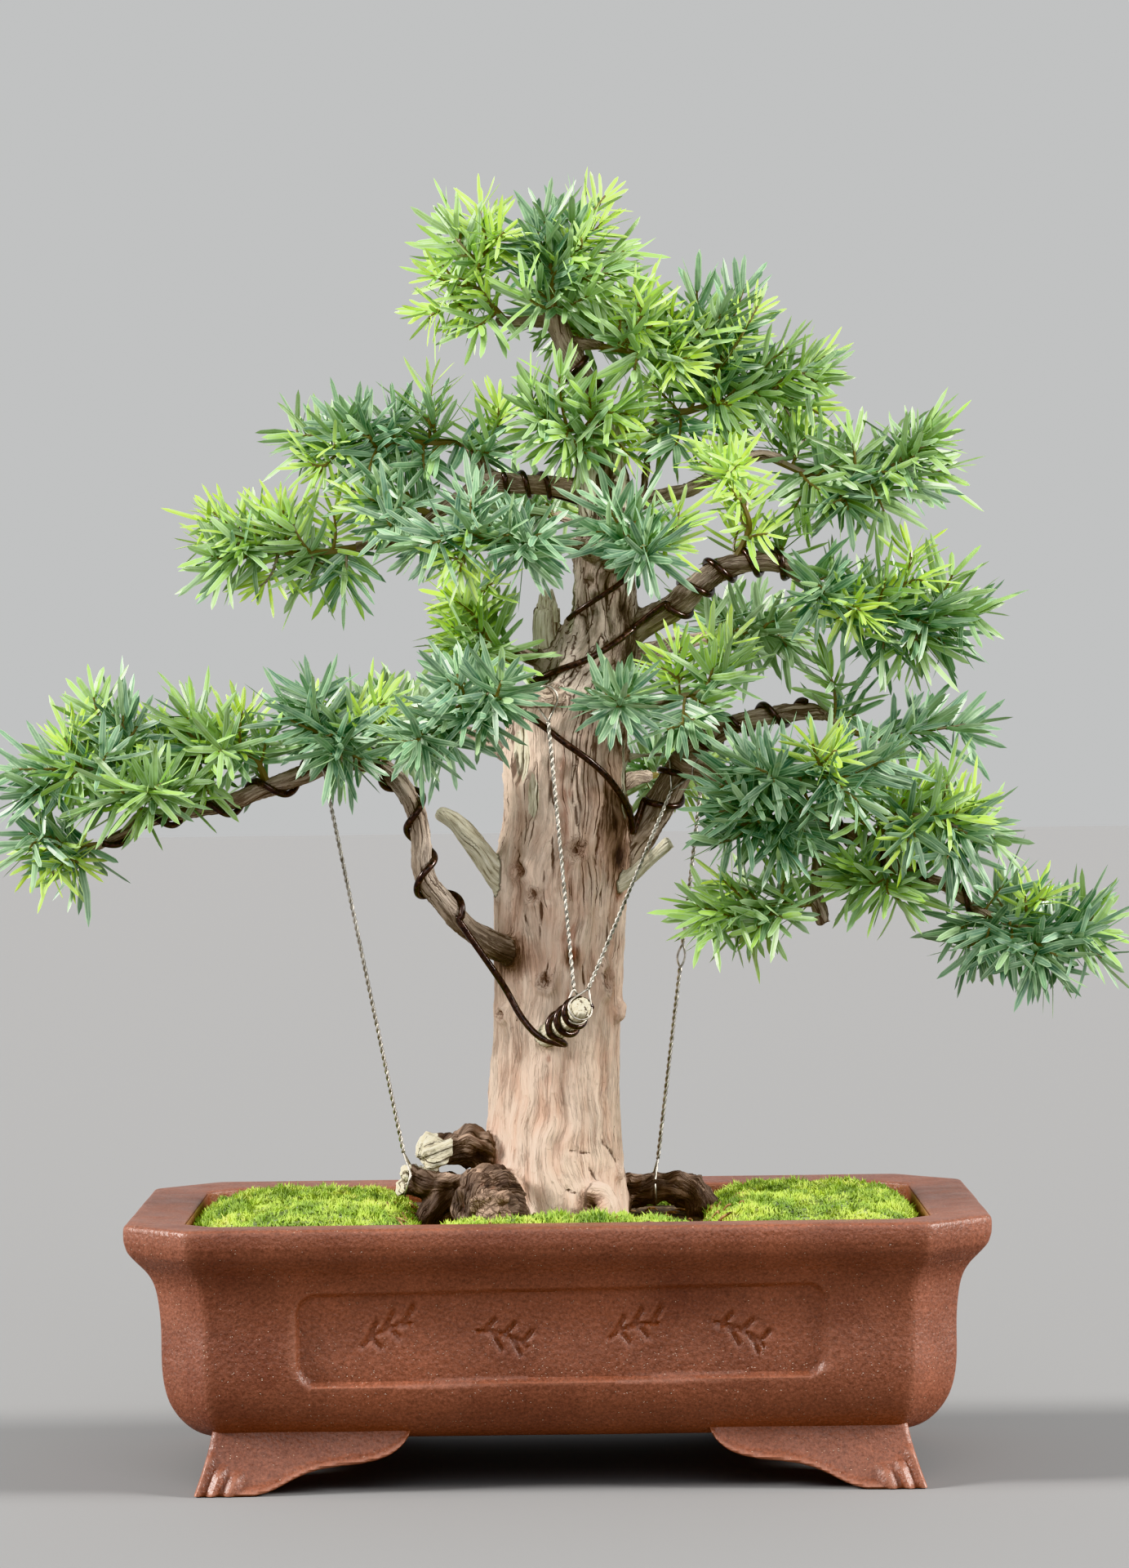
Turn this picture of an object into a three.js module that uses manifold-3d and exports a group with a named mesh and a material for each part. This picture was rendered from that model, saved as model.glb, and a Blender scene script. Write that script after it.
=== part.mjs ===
// A yew bonsai: an old upright tree with deadwood stubs, wired branches and flat-needled sprays, in a
// rectangular clay pot with cut corners and four bracket feet. Millimetres, +Z up, the front faces -Y,
// and the origin is on the ground under the middle of the whole plant.
import * as THREE from "three";
import { mergeVertices } from "three/addons/utils/BufferGeometryUtils.js";
import Module from "manifold-3d";

const wasm = await Module();
wasm.setup();

// Driving dimensions of the pot
const POT = {
  x: -2.5, // middle of the pot
  halfWidth: 158,
  halfDepth: 90,
  height: 97,
  corner: 24, // leg of the cut corner at the rim
  floor: 28,
  lip: 22, // width of the flat rim
};
const DRAIN = { x: 70, radius: 10 };
const PANEL = { left: -97, right: 94, bottom: 40, top: 73, corner: 8, floorY: -75 };
const FOOT = { x: 126, y: 73, thick: 13, top: 23, flare: 0.3, sole: -1.4 };

// Driving dimensions of the planting
const SOIL_TOP = 90;
const GAP = 0.3; // clearance between pieces that touch
const WIRE_RADIUS = 1.25; // aluminium training wire
const THIN_WIRE_RADIUS = 1.0;
const GUY_RADIUS = 0.75; // twisted pair of steel wires
const STRAND_RADIUS = 0.5; // one strand where the pair opens
const STEM_RADIUS = 1.9; // least radius of a spray's three-sided stem
const SHOOT_RADIUS = 1.4; // slim three-sided core of a shoot
const SHOOT_NECK = 0.9; // its radius inside the stem
const NEEDLE = {
  length: 20,
  shortest: 0.85, // a needle's length is between these shares of it
  longest: 1.15,
  width: 2.7, // at its root, along the shoot
  thick: 0.8,
  least: 2, // needles on the shortest shoot
  spacing: 7.2, // shoot length for each further needle
  first: 4, // from the shoot's root to its first needle
  bare: 6, // shoot length without needles at both ends together
  openLow: 80, // degrees between shoot and needle near the root
  openHigh: 40, // and near the tip
  openMore: 6, // and at most this much further
  clearAfter: 3, // the part of a needle that may touch its own shoot
};
const NEEDLE_TURNS = [0, 24, -24, 120, 144, 96, 240, 264, 216]; // tried in turn, in degrees round the shoot
const END_NEEDLE = 17; // a stem and a shoot run on to a point this far past their last place
const LOOP_TURNS = [65, 111, 157, 203, 249, 295]; // corners of a guy's loop, in degrees from its line
const LOOP_SLACK = 1.1; // keeps the middle of each step of a loop off the bark
const FORK = { share: 1.6, more: 3 }; // where a guy opens: a share of the branch radius, and millimetres more

// The point that the front view is seen from. Places of the tree are [x, z, y, radius]: x and z as seen
// on the plane y = 0 through the trunk, slid along the line of sight to the depth y.
const EYE = new THREE.Vector3(2, -1790, 283);

function at([x, z, y]) {
  const k = 1 - y / EYE.y;
  return new THREE.Vector3(EYE.x + (x - EYE.x) * k, y, EYE.z + (z - EYE.z) * k);
}

// Trunk outline seen from the front: height, left edge, right edge
const TRUNK = [
  [58, -20, 18], [86, -28.5, 24], [112, -29.5, 22.5], [132, -28, 21.2], [155, -26, 21.2],
  [176, -25.4, 22.8], [206, -25.2, 24.6], [224, -24.8, 25.8], [240, -21.4, 26.2], [270, -20, 26],
  [286, -16, 27.8], [300, -4, 30], [316, 3.5, 30.8], [332, 5.5, 29.4], [358, 9, 28.6], [372, 13, 27.6],
];
const TRUNK_DEPTH = 0.9; // depth over width
const TRUNK_SIDES = 12;
const FLUTE = 0.08; // depth of the shallow flutes, as a share of the half width

// Branches: name, sides, then [x, z, y, radius] from the root to the end
const BRANCHES = {
  low_left: [6, [
    [-14, 186, -12, 6.8], [-24, 192, -20, 5.9], [-35, 200, -26, 5], [-44, 210, -30, 4.6],
    [-51, 219, -32, 4.4], [-52.5, 232, -32, 4.2], [-54, 244, -31, 4.1], [-61, 256, -30, 4],
    [-71, 263, -28, 3.8], [-85, 263, -26, 3.7], [-98, 258, -25, 3.6], [-112, 253, -24, 3.5],
    [-126, 248, -24, 3.2], [-142, 245, -24, 2.8], [-158, 241, -25, 2.4], [-170, 235, -26, 2.1],
    [-178, 231, -26, 1.8]]],
  low_right: [6, [
    [16, 218, 4, 7.4], [27, 230, 6, 6.5], [34, 240, 5, 6], [42, 253, 2, 5.6], [50, 266, -2, 5],
    [62, 274, -5, 4], [75, 278, -6, 3.6], [88, 280, -6, 3.4], [98, 280, -6, 3], [102, 278, -6, 1.8]]],
  low_right_droop: [6, [
    [46, 262, -2, 4.6], [62, 256, -18, 4.2], [80, 247, -26, 3.8], [98, 239, -28, 3.4],
    [113, 232, -28, 3.1], [124, 223, -27, 2.9], [134, 218, -26, 2.7], [145, 214, -25, 2.4],
    [156, 206, -24, 2.1], [161, 203, -24, 2]]],
  low_right_hook: [5, [
    [92, 241, -28, 2.4], [97, 226, -30, 2.4], [96, 214, -31, 2.5], [98, 204, -31, 3.2],
    [99, 200, -31, 2.6]]],
  mid_right: [6, [
    [22, 308, 0, 6.2], [34, 315, -3, 5.4], [44, 320, -6, 5], [54, 329, -8, 4.6], [64, 335, -9, 4.4],
    [76, 337, -9, 4], [87, 335, -9, 3.5], [93, 331, -9, 2.8]]],
  upper_left: [6, [
    [14, 363, -2, 4.4], [0, 366, -6, 3.8], [-12, 367, -8, 3.6], [-25, 368, -9, 3.8], [-36, 362, -9, 3.2],
    [-48, 355, -9, 2.8], [-60, 347, -8, 2.3], [-76, 344, -7, 2]]],
  upper_left_top: [5, [[-24, 367, -9, 3], [-29, 377, -7, 2.6], [-36, 384, -4, 2.2]]],
  upper_right: [6, [
    [22, 357, 0, 4.2], [36, 361, -4, 3.2], [50, 364, -8, 2.8], [62, 371, -8, 2.5], [76, 377, -4, 2.2],
    [86, 375, -2, 2]]],
  leader: [6, [
    [23, 364, 5, 5.4], [19, 384, 5, 4.8], [14, 398, 3, 4.6], [8, 412, 1, 4.4], [3, 423, 0, 4.1],
    [0, 433, 0, 3]]],
  shoulder: [5, [[26, 348, 6, 3], [34, 364, 6, 2.3], [37, 380, 5, 2.1], [39, 391, 4, 2], [51, 394, 4, 1.8]]],
  apex_left: [5, [[1, 428, 0, 2.6], [-12, 428, 2, 2.2], [-22, 428.5, 3, 2]]],
  apex_right: [5, [[5, 420, 0, 2.6], [19, 419, -3, 2.1]]],
  front_upper: [5, [[16, 341, -3, 4.8], [4, 344, -38, 3], [-8, 345, -58, 2.2]]],
  front_upper_right: [5, [[19, 335, -3, 4], [28, 342, -38, 2.2]]],
  front_mid: [5, [[3, 288, -10, 4.8], [-8, 286, -38, 3.2], [-20, 286, -56, 2.4]]],
  front_mid_right: [5, [[12, 283, -8, 4], [20, 284, -44, 2.2]]],
  mid_left: [5, [[0, 298, -2, 3.8], [-16, 304, -6, 2.4]]],
  mid_right_inner: [5, [[24, 284, -6, 3.6], [42, 286, -12, 2.2]]],
  back_upper: [5, [[18, 346, 10, 4.4], [10, 352, 33, 3], [0, 355, 47, 2.2]]],
  back_right: [5, [[24, 300, 10, 4.6], [44, 306, 31, 3.2], [58, 309, 44, 2.4]]],
  back_left: [5, [[-8, 260, 12, 5.2], [-30, 272, 34, 3.6], [-48, 276, 49, 2.6]]],
  back_low: [5, [[8, 245, 13, 5], [24, 254, 37, 3.4], [34, 257, 53, 2.4]]],
  back_apex: [5, [[6, 414, 1, 2.6], [10, 420, 16, 1.8]]],
};

// Deadwood and cut stubs: pale stripped wood, blunt at the end
const STUBS = {
  jin_left: [6, [
    [-17, 211, -4, 5.6], [-26, 223, -8, 4.6], [-33, 233, -10, 4], [-39.5, 240.5, -11, 3.6],
    [-46, 244.5, -12, 2.6]]],
  jin_right: [6, [[18, 213, -8, 3.6], [30, 222, -14, 2.8], [41.5, 232, -18, 2.5]]],
  jin_back_twig: [5, [[22, 264, 4, 1.8], [41, 265, 6, 1.2]]],
  front_stub: [7, [[0, 162, -14, 4.6], [4, 166, -34, 3.7], [8, 170.5, -52, 3.5]]],
  shoulder_stub: [6, [[-2, 284, 2, 6], [-4, 304, 2, 4.6], [-4, 322, 2, 3.4]]],
  top_stub_left: [6, [[14, 354, -4, 5.4], [12, 370, -4, 4.6], [12, 381, -4, 3.2]]],
  top_stub_right: [6, [[22, 356, -3, 5.6], [22.5, 372, -3, 4.4], [23, 384, -2, 3]]],
};

// Surface roots and the stumps of sawn roots
const ROOTS = {
  root_top: [6, [[-20, 110, -4, 9], [-33, 117, -8, 6.8], [-44, 117.5, -10, 5.6], [-56, 116, -12, 5.2]]],
  root_knee: [6, [[-22, 98, -8, 10], [-40, 101, -12, 7], [-51, 103, -14, 5.6], [-62, 106, -14, 5]]],
  root_front: [6, [[-16, 98, -10, 10], [-28, 100, -22, 9], [-34, 97, -30, 7.5], [-36, 88, -34, 6]]],
  root_sawn: [6, [[-18, 90, -16, 7], [-24, 92, -32, 8], [-28, 94, -42, 7.6]]],
  root_down: [6, [[-38, 102, -12, 6], [-48, 94, -16, 6.4], [-52, 80, -18, 4]]],
  root_right: [6, [[12, 98, 6, 9], [30, 101, 10, 5.6], [44, 101, 10, 5.2], [52, 96, 8, 4.8], [55, 82, 8, 4]]],
  root_base: [6, [[8, 98, -14, 8], [14, 96, -24, 7], [20, 84, -30, 5]]],
  root_back: [6, [[0, 96, 12, 12], [-6, 93, 32, 8], [-12, 80, 48, 5]]],
};
const KNOBS = [[22, 168, -2, 4.6], [21, 107, -6, 6.5], [-22, 212, -6, 5]];
const LIMBS = { ...BRANCHES, ...STUBS, ...ROOTS };

// Training wires: radius, then runs in order. `trunk` rows are [height, turn from the front] round the
// trunk, `free` rows are places in the air, and `coil` winds round a limb from one share to another.
const WIRES = {
  wire_low_left: [WIRE_RADIUS, [
    { coil: "front_stub", from: 0.92, to: 0.44, turns: 2.6, first: 270 },
    { free: [[1, 156, -30], [-8, 158.5, -27], [-15, 166, -25.5], [-20.5, 176, -25], [-25.5, 184, -29]] },
    { coil: "low_left", from: 0.16, to: 0.97, turns: 8, first: 180 }]],
  wire_low_right: [WIRE_RADIUS, [
    { trunk: [[284, -72], [278, -32], [268, 4], [258, 34], [246, 62], [236, 82]] },
    { coil: "low_right", from: 0.3, to: 0.92, turns: 5, first: 120 }]],
  wire_mid_right: [WIRE_RADIUS, [
    { trunk: [[292, -66], [296, -40], [301, -5], [308, 28], [313, 54]] },
    { coil: "mid_right", from: 0.3, to: 0.94, turns: 4.5, first: 150 }]],
  wire_upper_left: [THIN_WIRE_RADIUS, [
    { trunk: [[316, -58], [321, -24], [327, 14], [333, 52], [339, 92], [346, 132], [352, 172], [359, 218]] },
    { coil: "upper_left", from: 0.16, to: 0.36, turns: 2.5, first: 40 }]],
  wire_leader: [WIRE_RADIUS, [{ coil: "leader", from: 0.22, to: 0.7, turns: 3, first: 240 }]],
  wire_droop: [THIN_WIRE_RADIUS, [{ coil: "low_right_droop", from: 0.5, to: 0.96, turns: 3.5, first: 90 }]],
};

// Guy wires: the branch ring (branch, share along it) that each pulls, and the ring that it is tied to
const GUYS = {
  guy_left: [["low_left", 0.57], ["root_knee", 0.93]],
  guy_right: [["low_right_droop", 0.09], ["root_right", 0.4]],
  guy_stub_left: [["front_mid", 0.42], ["front_stub", 0.83]],
  guy_stub_right: [["low_right", 0.46], ["front_stub", 0.93]],
};

// Sprays: the leafy stem, then its shoots as [x, z, y] to [x, z, y]
const SPRAYS = {
  spray_apex_crown: [[[0, 428, 0, 2.4], [0, 440, -1, 1.8], [-1, 452, -2, 1.2]], [
    [-4, 444, 0, -8, 458, -6], [2, 446, 0, 19, 465, 3], [4, 440, -4, 22, 446, -10]]],
  spray_apex_left: [[[-18, 428, 3, 1.9], [-26, 439, 4, 1.6], [-28, 452, 3, 1.2], [-27, 461, 3, 1]], [
    [-26, 440, 4, -46, 446, 0], [-24, 436, 4, -50, 432, 8], [-28, 452, 3, -39, 464, 2],
    [-28, 450, 3, -18, 462, -4]]],
  spray_apex_right: [[[15, 419, -2, 1.9], [33, 416, -4, 1.6], [46, 415, -4, 1.1]], [
    [28, 420, -6, 36, 436, -12], [40, 415, -6, 51, 414, -16]]],
  spray_shoulder: [[[47, 393, 4, 1.7], [66, 398, 4, 1.4], [84, 402, 4, 1.1]], [
    [60, 398, 2, 63, 427, 0], [84, 402, 4, 98, 408, 0], [60, 396, 2, 66, 385, -4]]],
  spray_rosette_right: [[[66, 336, -9, 1.2], [71, 345, -12, 1], [72.5, 353, -17, 1], [65, 370, -27, 1]], [
    [65, 370, -26, 65, 371, -39], [66, 366, -24, 54, 377, -24]]],
  spray_upper_right: [[[82, 375.5, -2, 1.9], [104, 366, -2, 1.7], [118, 368, -2, 1.5], [140, 380, -2, 1]], [
    [104, 366, -4, 110, 356, -12], [90, 373, 0, 92, 384, 6], [130, 374, -2, 141, 382, -2],
    [110, 367, 0, 114, 374, 14]]],
  spray_upper_left_top: [[[-32, 383, -4, 2], [-55, 383, -2, 1.7], [-72, 381, 0, 1.4], [-86, 381, 2, 1]], [
    [-84, 381, 2, -95, 386, 4], [-66, 382, 0, -70, 391, -6], [-44, 384, -2, -44, 396, -4],
    [-78, 381, 0, -89, 372, -8]]],
  spray_upper_left_inner: [[[-28, 375, -7, 1.5], [-24, 385, -8, 1.1]], [[-24, 384, -8, -21, 396, -12]]],
  spray_upper_left_under: [[[-46, 356, -9, 1.6], [-58, 360, -13, 1.3], [-66, 360, -15, 1]], [
    [-62, 360, -14, -75, 362, -16], [-58, 360, -14, -64, 352, -22]]],
  spray_left_tip: [[[-72, 344.5, -7, 1.8], [-92, 342, -6, 1.6], [-108, 343, -5, 1.4], [-122, 345, -4, 1]], [
    [-112, 344, -4, -129, 358, -2], [-100, 343, -6, -107, 358, -10], [-112, 343, -6, -128, 334, -10],
    [-92, 342, -6, -96, 332, -2]]],
  spray_centre_top: [[[18, 386, 3, 1.5], [8, 387, -10, 1.3], [-2, 386, -15, 1]], [
    [0, 387, -14, -4, 394, -18], [10, 387, -8, 20, 396, -14]]],
  spray_front_upper: [[[-4, 344.6, -52, 1.9], [-24, 347, -66, 1.6], [-38, 346, -68, 1.2]], [
    [-10, 345, -62, -8, 345, -77], [-28, 347, -66, -32, 358, -72], [-38, 346, -68, -52, 343, -72],
    [-34, 346, -68, -36, 334, -74]]],
  spray_front_upper_right: [[[27, 341, -34, 1.9], [32, 342, -54, 1.3]], [
    [32, 342, -52, 34, 338, -66], [30, 342, -44, 47, 350, -46]]],
  spray_mid_left: [[[-13, 303, -5, 1.8], [-26, 309, -8, 1.5], [-29, 318, -8, 1]], [
    [-29, 316, -8, -28, 328, -10], [-26, 310, -8, -40, 314, -12], [-24, 308, -8, -35, 303, -18]]],
  spray_low_left_inner: [[[-72, 263, -28, 1.8], [-80, 273, -32, 1.5], [-92, 274, -32, 1.1]], [
    [-76, 272, -31, -66, 287, -34], [-90, 274, -32, -93, 287, -34], [-84, 273, -32, -86, 266, -48]]],
  spray_low_left_mid: [[[-109, 254, -24, 1.8], [-116, 266, -27, 1.6], [-132, 266, -28, 1.4],
    [-144, 266, -28, 1]], [
    [-118, 266, -27, -119, 283, -30], [-134, 266, -28, -140, 281, -34], [-142, 266, -28, -152, 275, -26]]],
  spray_low_left_outer: [[[-154, 242, -25, 1.7], [-166, 256, -28, 1.5], [-178, 262, -30, 1.3],
    [-190, 256, -32, 1]], [
    [-166, 258, -28, -164, 282, -30], [-178, 262, -30, -186, 274, -34], [-188, 257, -32, -200, 254, -36]]],
  spray_low_left_under: [[[-136, 246, -24, 1.6], [-148, 251, -36, 1.3], [-160, 250, -42, 1]], [
    [-158, 250, -41, -176, 247, -46], [-152, 250, -38, -150, 256, -54]]],
  spray_low_left_tip: [[[-174, 233, -26, 1.7], [-184, 233, -27, 1.4], [-192, 237, -28, 1]], [
    [-190, 236, -28, -200, 238, -32], [-187, 234, -28, -188, 226, -36]]],
  spray_front_mid: [[[-16, 286, -50, 2], [-36, 284, -61, 1.7], [-52, 273, -61, 1.2]], [
    [-22, 286, -58, -21, 286, -75], [-36, 284, -60, -38, 296, -64], [-51, 274, -61, -53, 271, -75]]],
  spray_front_mid_right: [[[19.5, 284, -40, 1.9], [22, 284, -60, 1.3]], [[22, 284, -58, 22, 283, -79]]],
  spray_mid_right_inner: [[[38, 285.5, -11, 1.8], [56, 289, -14, 1.5], [64, 298, -14, 1]], [
    [46, 287, -12, 44, 304, -16], [62, 296, -14, 66, 308, -16], [48, 287, -12, 47, 275, -22]]],
  spray_mid_right: [[[89, 334, -9, 2.4], [108, 320, -8, 2.1], [124, 315, -7, 1.7], [142, 316, -6, 1.2]], [
    [100, 325, -9, 98, 322, -26], [112, 318, -8, 114, 318, -28], [128, 316, -7, 134, 336, -10],
    [140, 316, -6, 154, 318, -6], [134, 315, -7, 136, 301, -12], [116, 317, -6, 118, 322, 10]]],
  spray_mid_right_bud: [[[83, 336, -9, 1.3], [85, 342, -8, 1]], [[85, 341, -8, 87, 347, -9]]],
  spray_low_right_twig: [[[99, 279.5, -6, 1.6], [112, 272, -6, 1.2], [124, 271, -6, 1.1], [140, 273, -6, 0.9]], [
    [124, 271, -6, 155, 275, -6], [104, 277, -6, 100, 296, -8]]],
  spray_low_right_top: [[[71, 252, -22, 1.8], [82, 257, -37, 1.5], [98, 257, -44, 1.3], [110, 255, -46, 1]], [
    [82, 256, -36, 81, 254, -56], [98, 257, -44, 104, 264, -50], [110, 255, -46, 122, 261, -46]]],
  spray_low_right_outer: [[[117, 229, -28, 1.8], [126, 240, -33, 1.5], [140, 240, -36, 1.2],
    [150, 236, -37, 1]], [
    [118, 236, -30, 138, 250, -30], [140, 240, -36, 151, 243, -44], [148, 236, -37, 161, 237, -34],
    [144, 238, -36, 152, 222, -38]]],
  spray_low_right_inner: [[[86, 244, -27, 1.5], [78, 238, -37, 1.3], [68, 238, -42, 1]], [
    [74, 238, -40, 60, 243, -44], [80, 239, -36, 84, 228, -44]]],
  spray_low_right_hang: [[[97, 208, -31, 1.5], [80, 207.5, -32, 1.2], [64, 208, -33, 0.9]], [
    [76, 208, -32, 51, 208, -34], [80, 208, -32, 74, 199, -38]]],
  spray_low_right_under: [[[127, 221, -27, 1.3], [120, 215, -31, 1.1], [112, 217, -33, 0.9]], [
    [118, 215, -31, 107, 219, -34], [122, 216, -30, 129, 207, -34]]],
  spray_low_right_tip: [[[157, 205, -24, 1.9], [172, 199, -24, 1.6], [184, 196, -24, 1.3], [196, 196, -24, 1]], [
    [172, 199, -24, 181, 212, -26], [178, 197, -24, 180, 186, -36], [164, 202, -24, 156, 188, -26],
    [190, 196, -24, 202, 196, -26], [168, 200, -24, 170, 204, -8]]],
  spray_back_upper: [[[3, 354, 43, 1.9], [-10, 357, 59, 1.5], [-18, 358, 70, 1]], [
    [-14, 358, 65, -24, 364, 77], [-6, 356, 55, -26, 352, 62], [-6, 356, 55, 10, 364, 67]]],
  spray_back_right: [[[54, 308, 40, 1.9], [68, 311, 55, 1.5], [78, 311, 64, 1]], [
    [76, 311, 62, 92, 316, 73], [68, 311, 55, 60, 316, 70], [66, 311, 53, 86, 308, 52]]],
  spray_back_left: [[[-44, 275, 45, 2], [-60, 278, 58, 1.6], [-76, 278, 65, 1]], [
    [-74, 278, 64, -90, 282, 73], [-62, 278, 59, -56, 284, 74], [-58, 278, 56, -78, 272, 50]]],
  spray_back_low: [[[32, 256, 50, 2], [40, 258, 64, 1.5], [44, 259, 73, 1]], [
    [43, 259, 71, 50, 263, 81], [40, 258, 62, 22, 262, 70], [39, 258, 61, 58, 256, 62]]],
  spray_back_apex: [[[9, 418.5, 13, 1.6], [12, 424, 24, 1.2], [12, 430, 31, 0.9]], [
    [12, 429, 30, 10, 440, 40], [11, 423, 21, 26, 428, 30], [11, 423, 21, -4, 430, 30]]],
};

// Moss cushions on the soil: centre x, y, half sizes, height
const MOSS = {
  moss_left: [-95, 0, 43, 66, 9],
  moss_right: [92, 0, 40, 66, 9.5],
  moss_front: [0, -49, 50.5, 17, 5],
  moss_back: [-1, 54, 50, 13, 6],
};

const MATERIALS = {
  clay: ["#8a4a36", 0.55, 0],
  soil: ["#33291f", 0.95, 0],
  moss: ["#7ea32c", 0.9, 0],
  bark: ["#96755e", 0.8, 0],
  training_wire: ["#2e221d", 0.35, 0.8],
  guy_wire: ["#b9b4aa", 0.35, 0.9],
  needles: ["#4f7d3a", 0.5, 0],
};

// Solids from three.js geometry, and back
function solidOf(geometry) {
  const bare = new THREE.BufferGeometry().setAttribute("position", geometry.getAttribute("position"));
  if (geometry.index) bare.setIndex(geometry.index);
  const merged = mergeVertices(bare, 1e-4);
  return new wasm.Manifold(
    new wasm.Mesh({
      numProp: 3,
      vertProperties: merged.attributes.position.array,
      triVerts: new Uint32Array(merged.index.array),
    }),
  );
}

function geometryOf(solid) {
  const mesh = solid.getMesh();
  const geometry = new THREE.BufferGeometry();
  geometry.setAttribute("position", new THREE.BufferAttribute(mesh.vertProperties, 3));
  geometry.setIndex(new THREE.BufferAttribute(mesh.triVerts, 1));
  geometry.computeVertexNormals();
  return geometry;
}

function largest(solid) {
  const bodies = solid.decompose();
  return bodies.reduce((best, body) => (body.volume() > best.volume() ? body : best));
}

// A closed skin over rings of equal length, each turning left as seen from the last ring, which may
// run on to a point
function loft(rings, point = null) {
  const n = rings[0].length;
  const index = [];
  for (let r = 0; r + 1 < rings.length; r++) {
    for (let i = 0; i < n; i++) {
      const [a, b] = [r * n + i, r * n + ((i + 1) % n)];
      index.push(a, b, b + n, a, b + n, a + n);
    }
  }
  const last = (rings.length - 1) * n;
  for (let i = 1; i + 1 < n; i++) {
    index.push(0, i + 1, i);
    if (!point) index.push(last, last + i, last + i + 1);
  }
  if (point) rings[0].forEach((_, i) => index.push(last + i, last + ((i + 1) % n), last + n));
  const geometry = new THREE.BufferGeometry().setFromPoints([...rings.flat(), ...(point ? [point] : [])]);
  geometry.setIndex(index);
  return geometry;
}

// A direction square to `way`, turned by `roll` about it
function sideways(way, roll = 0) {
  const level = Math.abs(way.x) > 0.8 ? new THREE.Vector3(0, 1, 0) : new THREE.Vector3(1, 0, 0);
  return level.cross(way).normalize().applyAxisAngle(way, roll);
}

// The way a row of points runs at each of them
function tangentsOf(points) {
  return points.map((_, i) => {
    const before = points[Math.max(i - 1, 0)];
    const after = points[Math.min(i + 1, points.length - 1)];
    return after.clone().sub(before).normalize();
  });
}

// A tapering limb: a ring of `sides` corners round each point, `grow` thicker all round, turned by
// `roll`, and drawn out past its end to a point `beyond` further on
function limb(points, radii, sides, { grow = 0, roll = 0, beyond = 0 } = {}) {
  const tangents = tangentsOf(points);
  const normal = sideways(tangents[0], roll);
  const rings = points.map((point, i) => {
    if (i > 0) {
      normal.applyQuaternion(new THREE.Quaternion().setFromUnitVectors(tangents[i - 1], tangents[i]));
    }
    const binormal = new THREE.Vector3().crossVectors(tangents[i], normal);
    const centre = point.clone();
    if (i === points.length - 1) centre.addScaledVector(tangents[i], grow);
    return Array.from({ length: sides }, (_, k) => {
      const angle = (2 * Math.PI * k) / sides;
      return centre
        .clone()
        .addScaledVector(normal, (radii[i] + grow) * Math.cos(angle))
        .addScaledVector(binormal, (radii[i] + grow) * Math.sin(angle));
    });
  });
  const end = points[points.length - 1].clone().addScaledVector(tangents[points.length - 1], beyond);
  return solidOf(loft(rings, beyond > 0 ? end : null));
}

function limbOf([sides, rows], grow = 0) {
  return limb(rows.map(at), rows.map((row) => row[3]), sides, { grow });
}

function rodOf(points, radius, sides) {
  return limb(points, points.map(() => radius), sides);
}

// The pot: octagon rings, a wall with a flat lip, bracket feet, a sunk panel and drain holes
function octagon(inset, z) {
  const a = POT.halfWidth - inset;
  const b = POT.halfDepth - inset;
  const c = POT.corner - (2 - Math.SQRT2) * inset; // every side moves in by the same inset
  const corners = [
    [a, c - b], [a, b - c], [a - c, b], [c - a, b], [-a, b - c], [-a, c - b], [c - a, -b], [a - c, -b],
  ];
  return corners.map(([x, y]) => new THREE.Vector3(POT.x + x, y, z));
}

const OUTER_WALL = [
  [36, 17], [27, 18.2], [21, 20.8], [16.2, 26], [13.6, 33], [12.8, 43], [12.8, 58], [12, 70], [10.4, 78],
  [8, 84], [4, 87.6], [0.8, 90], [0, 92], [0, 95.6], [1.4, POT.height],
];
const INNER_WALL = [
  [30, POT.floor], [24, 36], [POT.lip, 60], [POT.lip, POT.height + 5],
];

// One bracket foot arm, drawn from the toe at x = 0 to its far end, as an upright plate
function footArm(toe, reach) {
  const s = new THREE.Shape();
  s.moveTo(0, FOOT.top);
  s.lineTo(0, FOOT.sole + 2);
  s.lineTo(-1.5, FOOT.sole);
  s.lineTo(-toe, FOOT.sole);
  s.bezierCurveTo(-toe - 0.24 * reach, -0.6, -toe - 0.22 * reach, 6.4, -toe - 0.6 * reach, 7);
  s.bezierCurveTo(-toe - 0.92 * reach, 7.4, -toe - reach, 10, -toe - reach, FOOT.top);
  const plate = new THREE.ExtrudeGeometry(s, { depth: FOOT.thick, bevelEnabled: false, curveSegments: 4 });
  return plate.rotateX(Math.PI / 2);
}

// Feet splay outwards below the body
function splayed(geometry, x, y) {
  const position = geometry.getAttribute("position");
  for (let i = 0; i < position.count; i++) {
    const drop = Math.max(0, FOOT.top - position.getZ(i)) * FOOT.flare;
    position.setX(i, position.getX(i) + Math.sign(x) * drop);
    position.setY(i, position.getY(i) + Math.sign(y) * drop);
  }
  return geometry.translate(POT.x, 0, 0);
}

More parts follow.
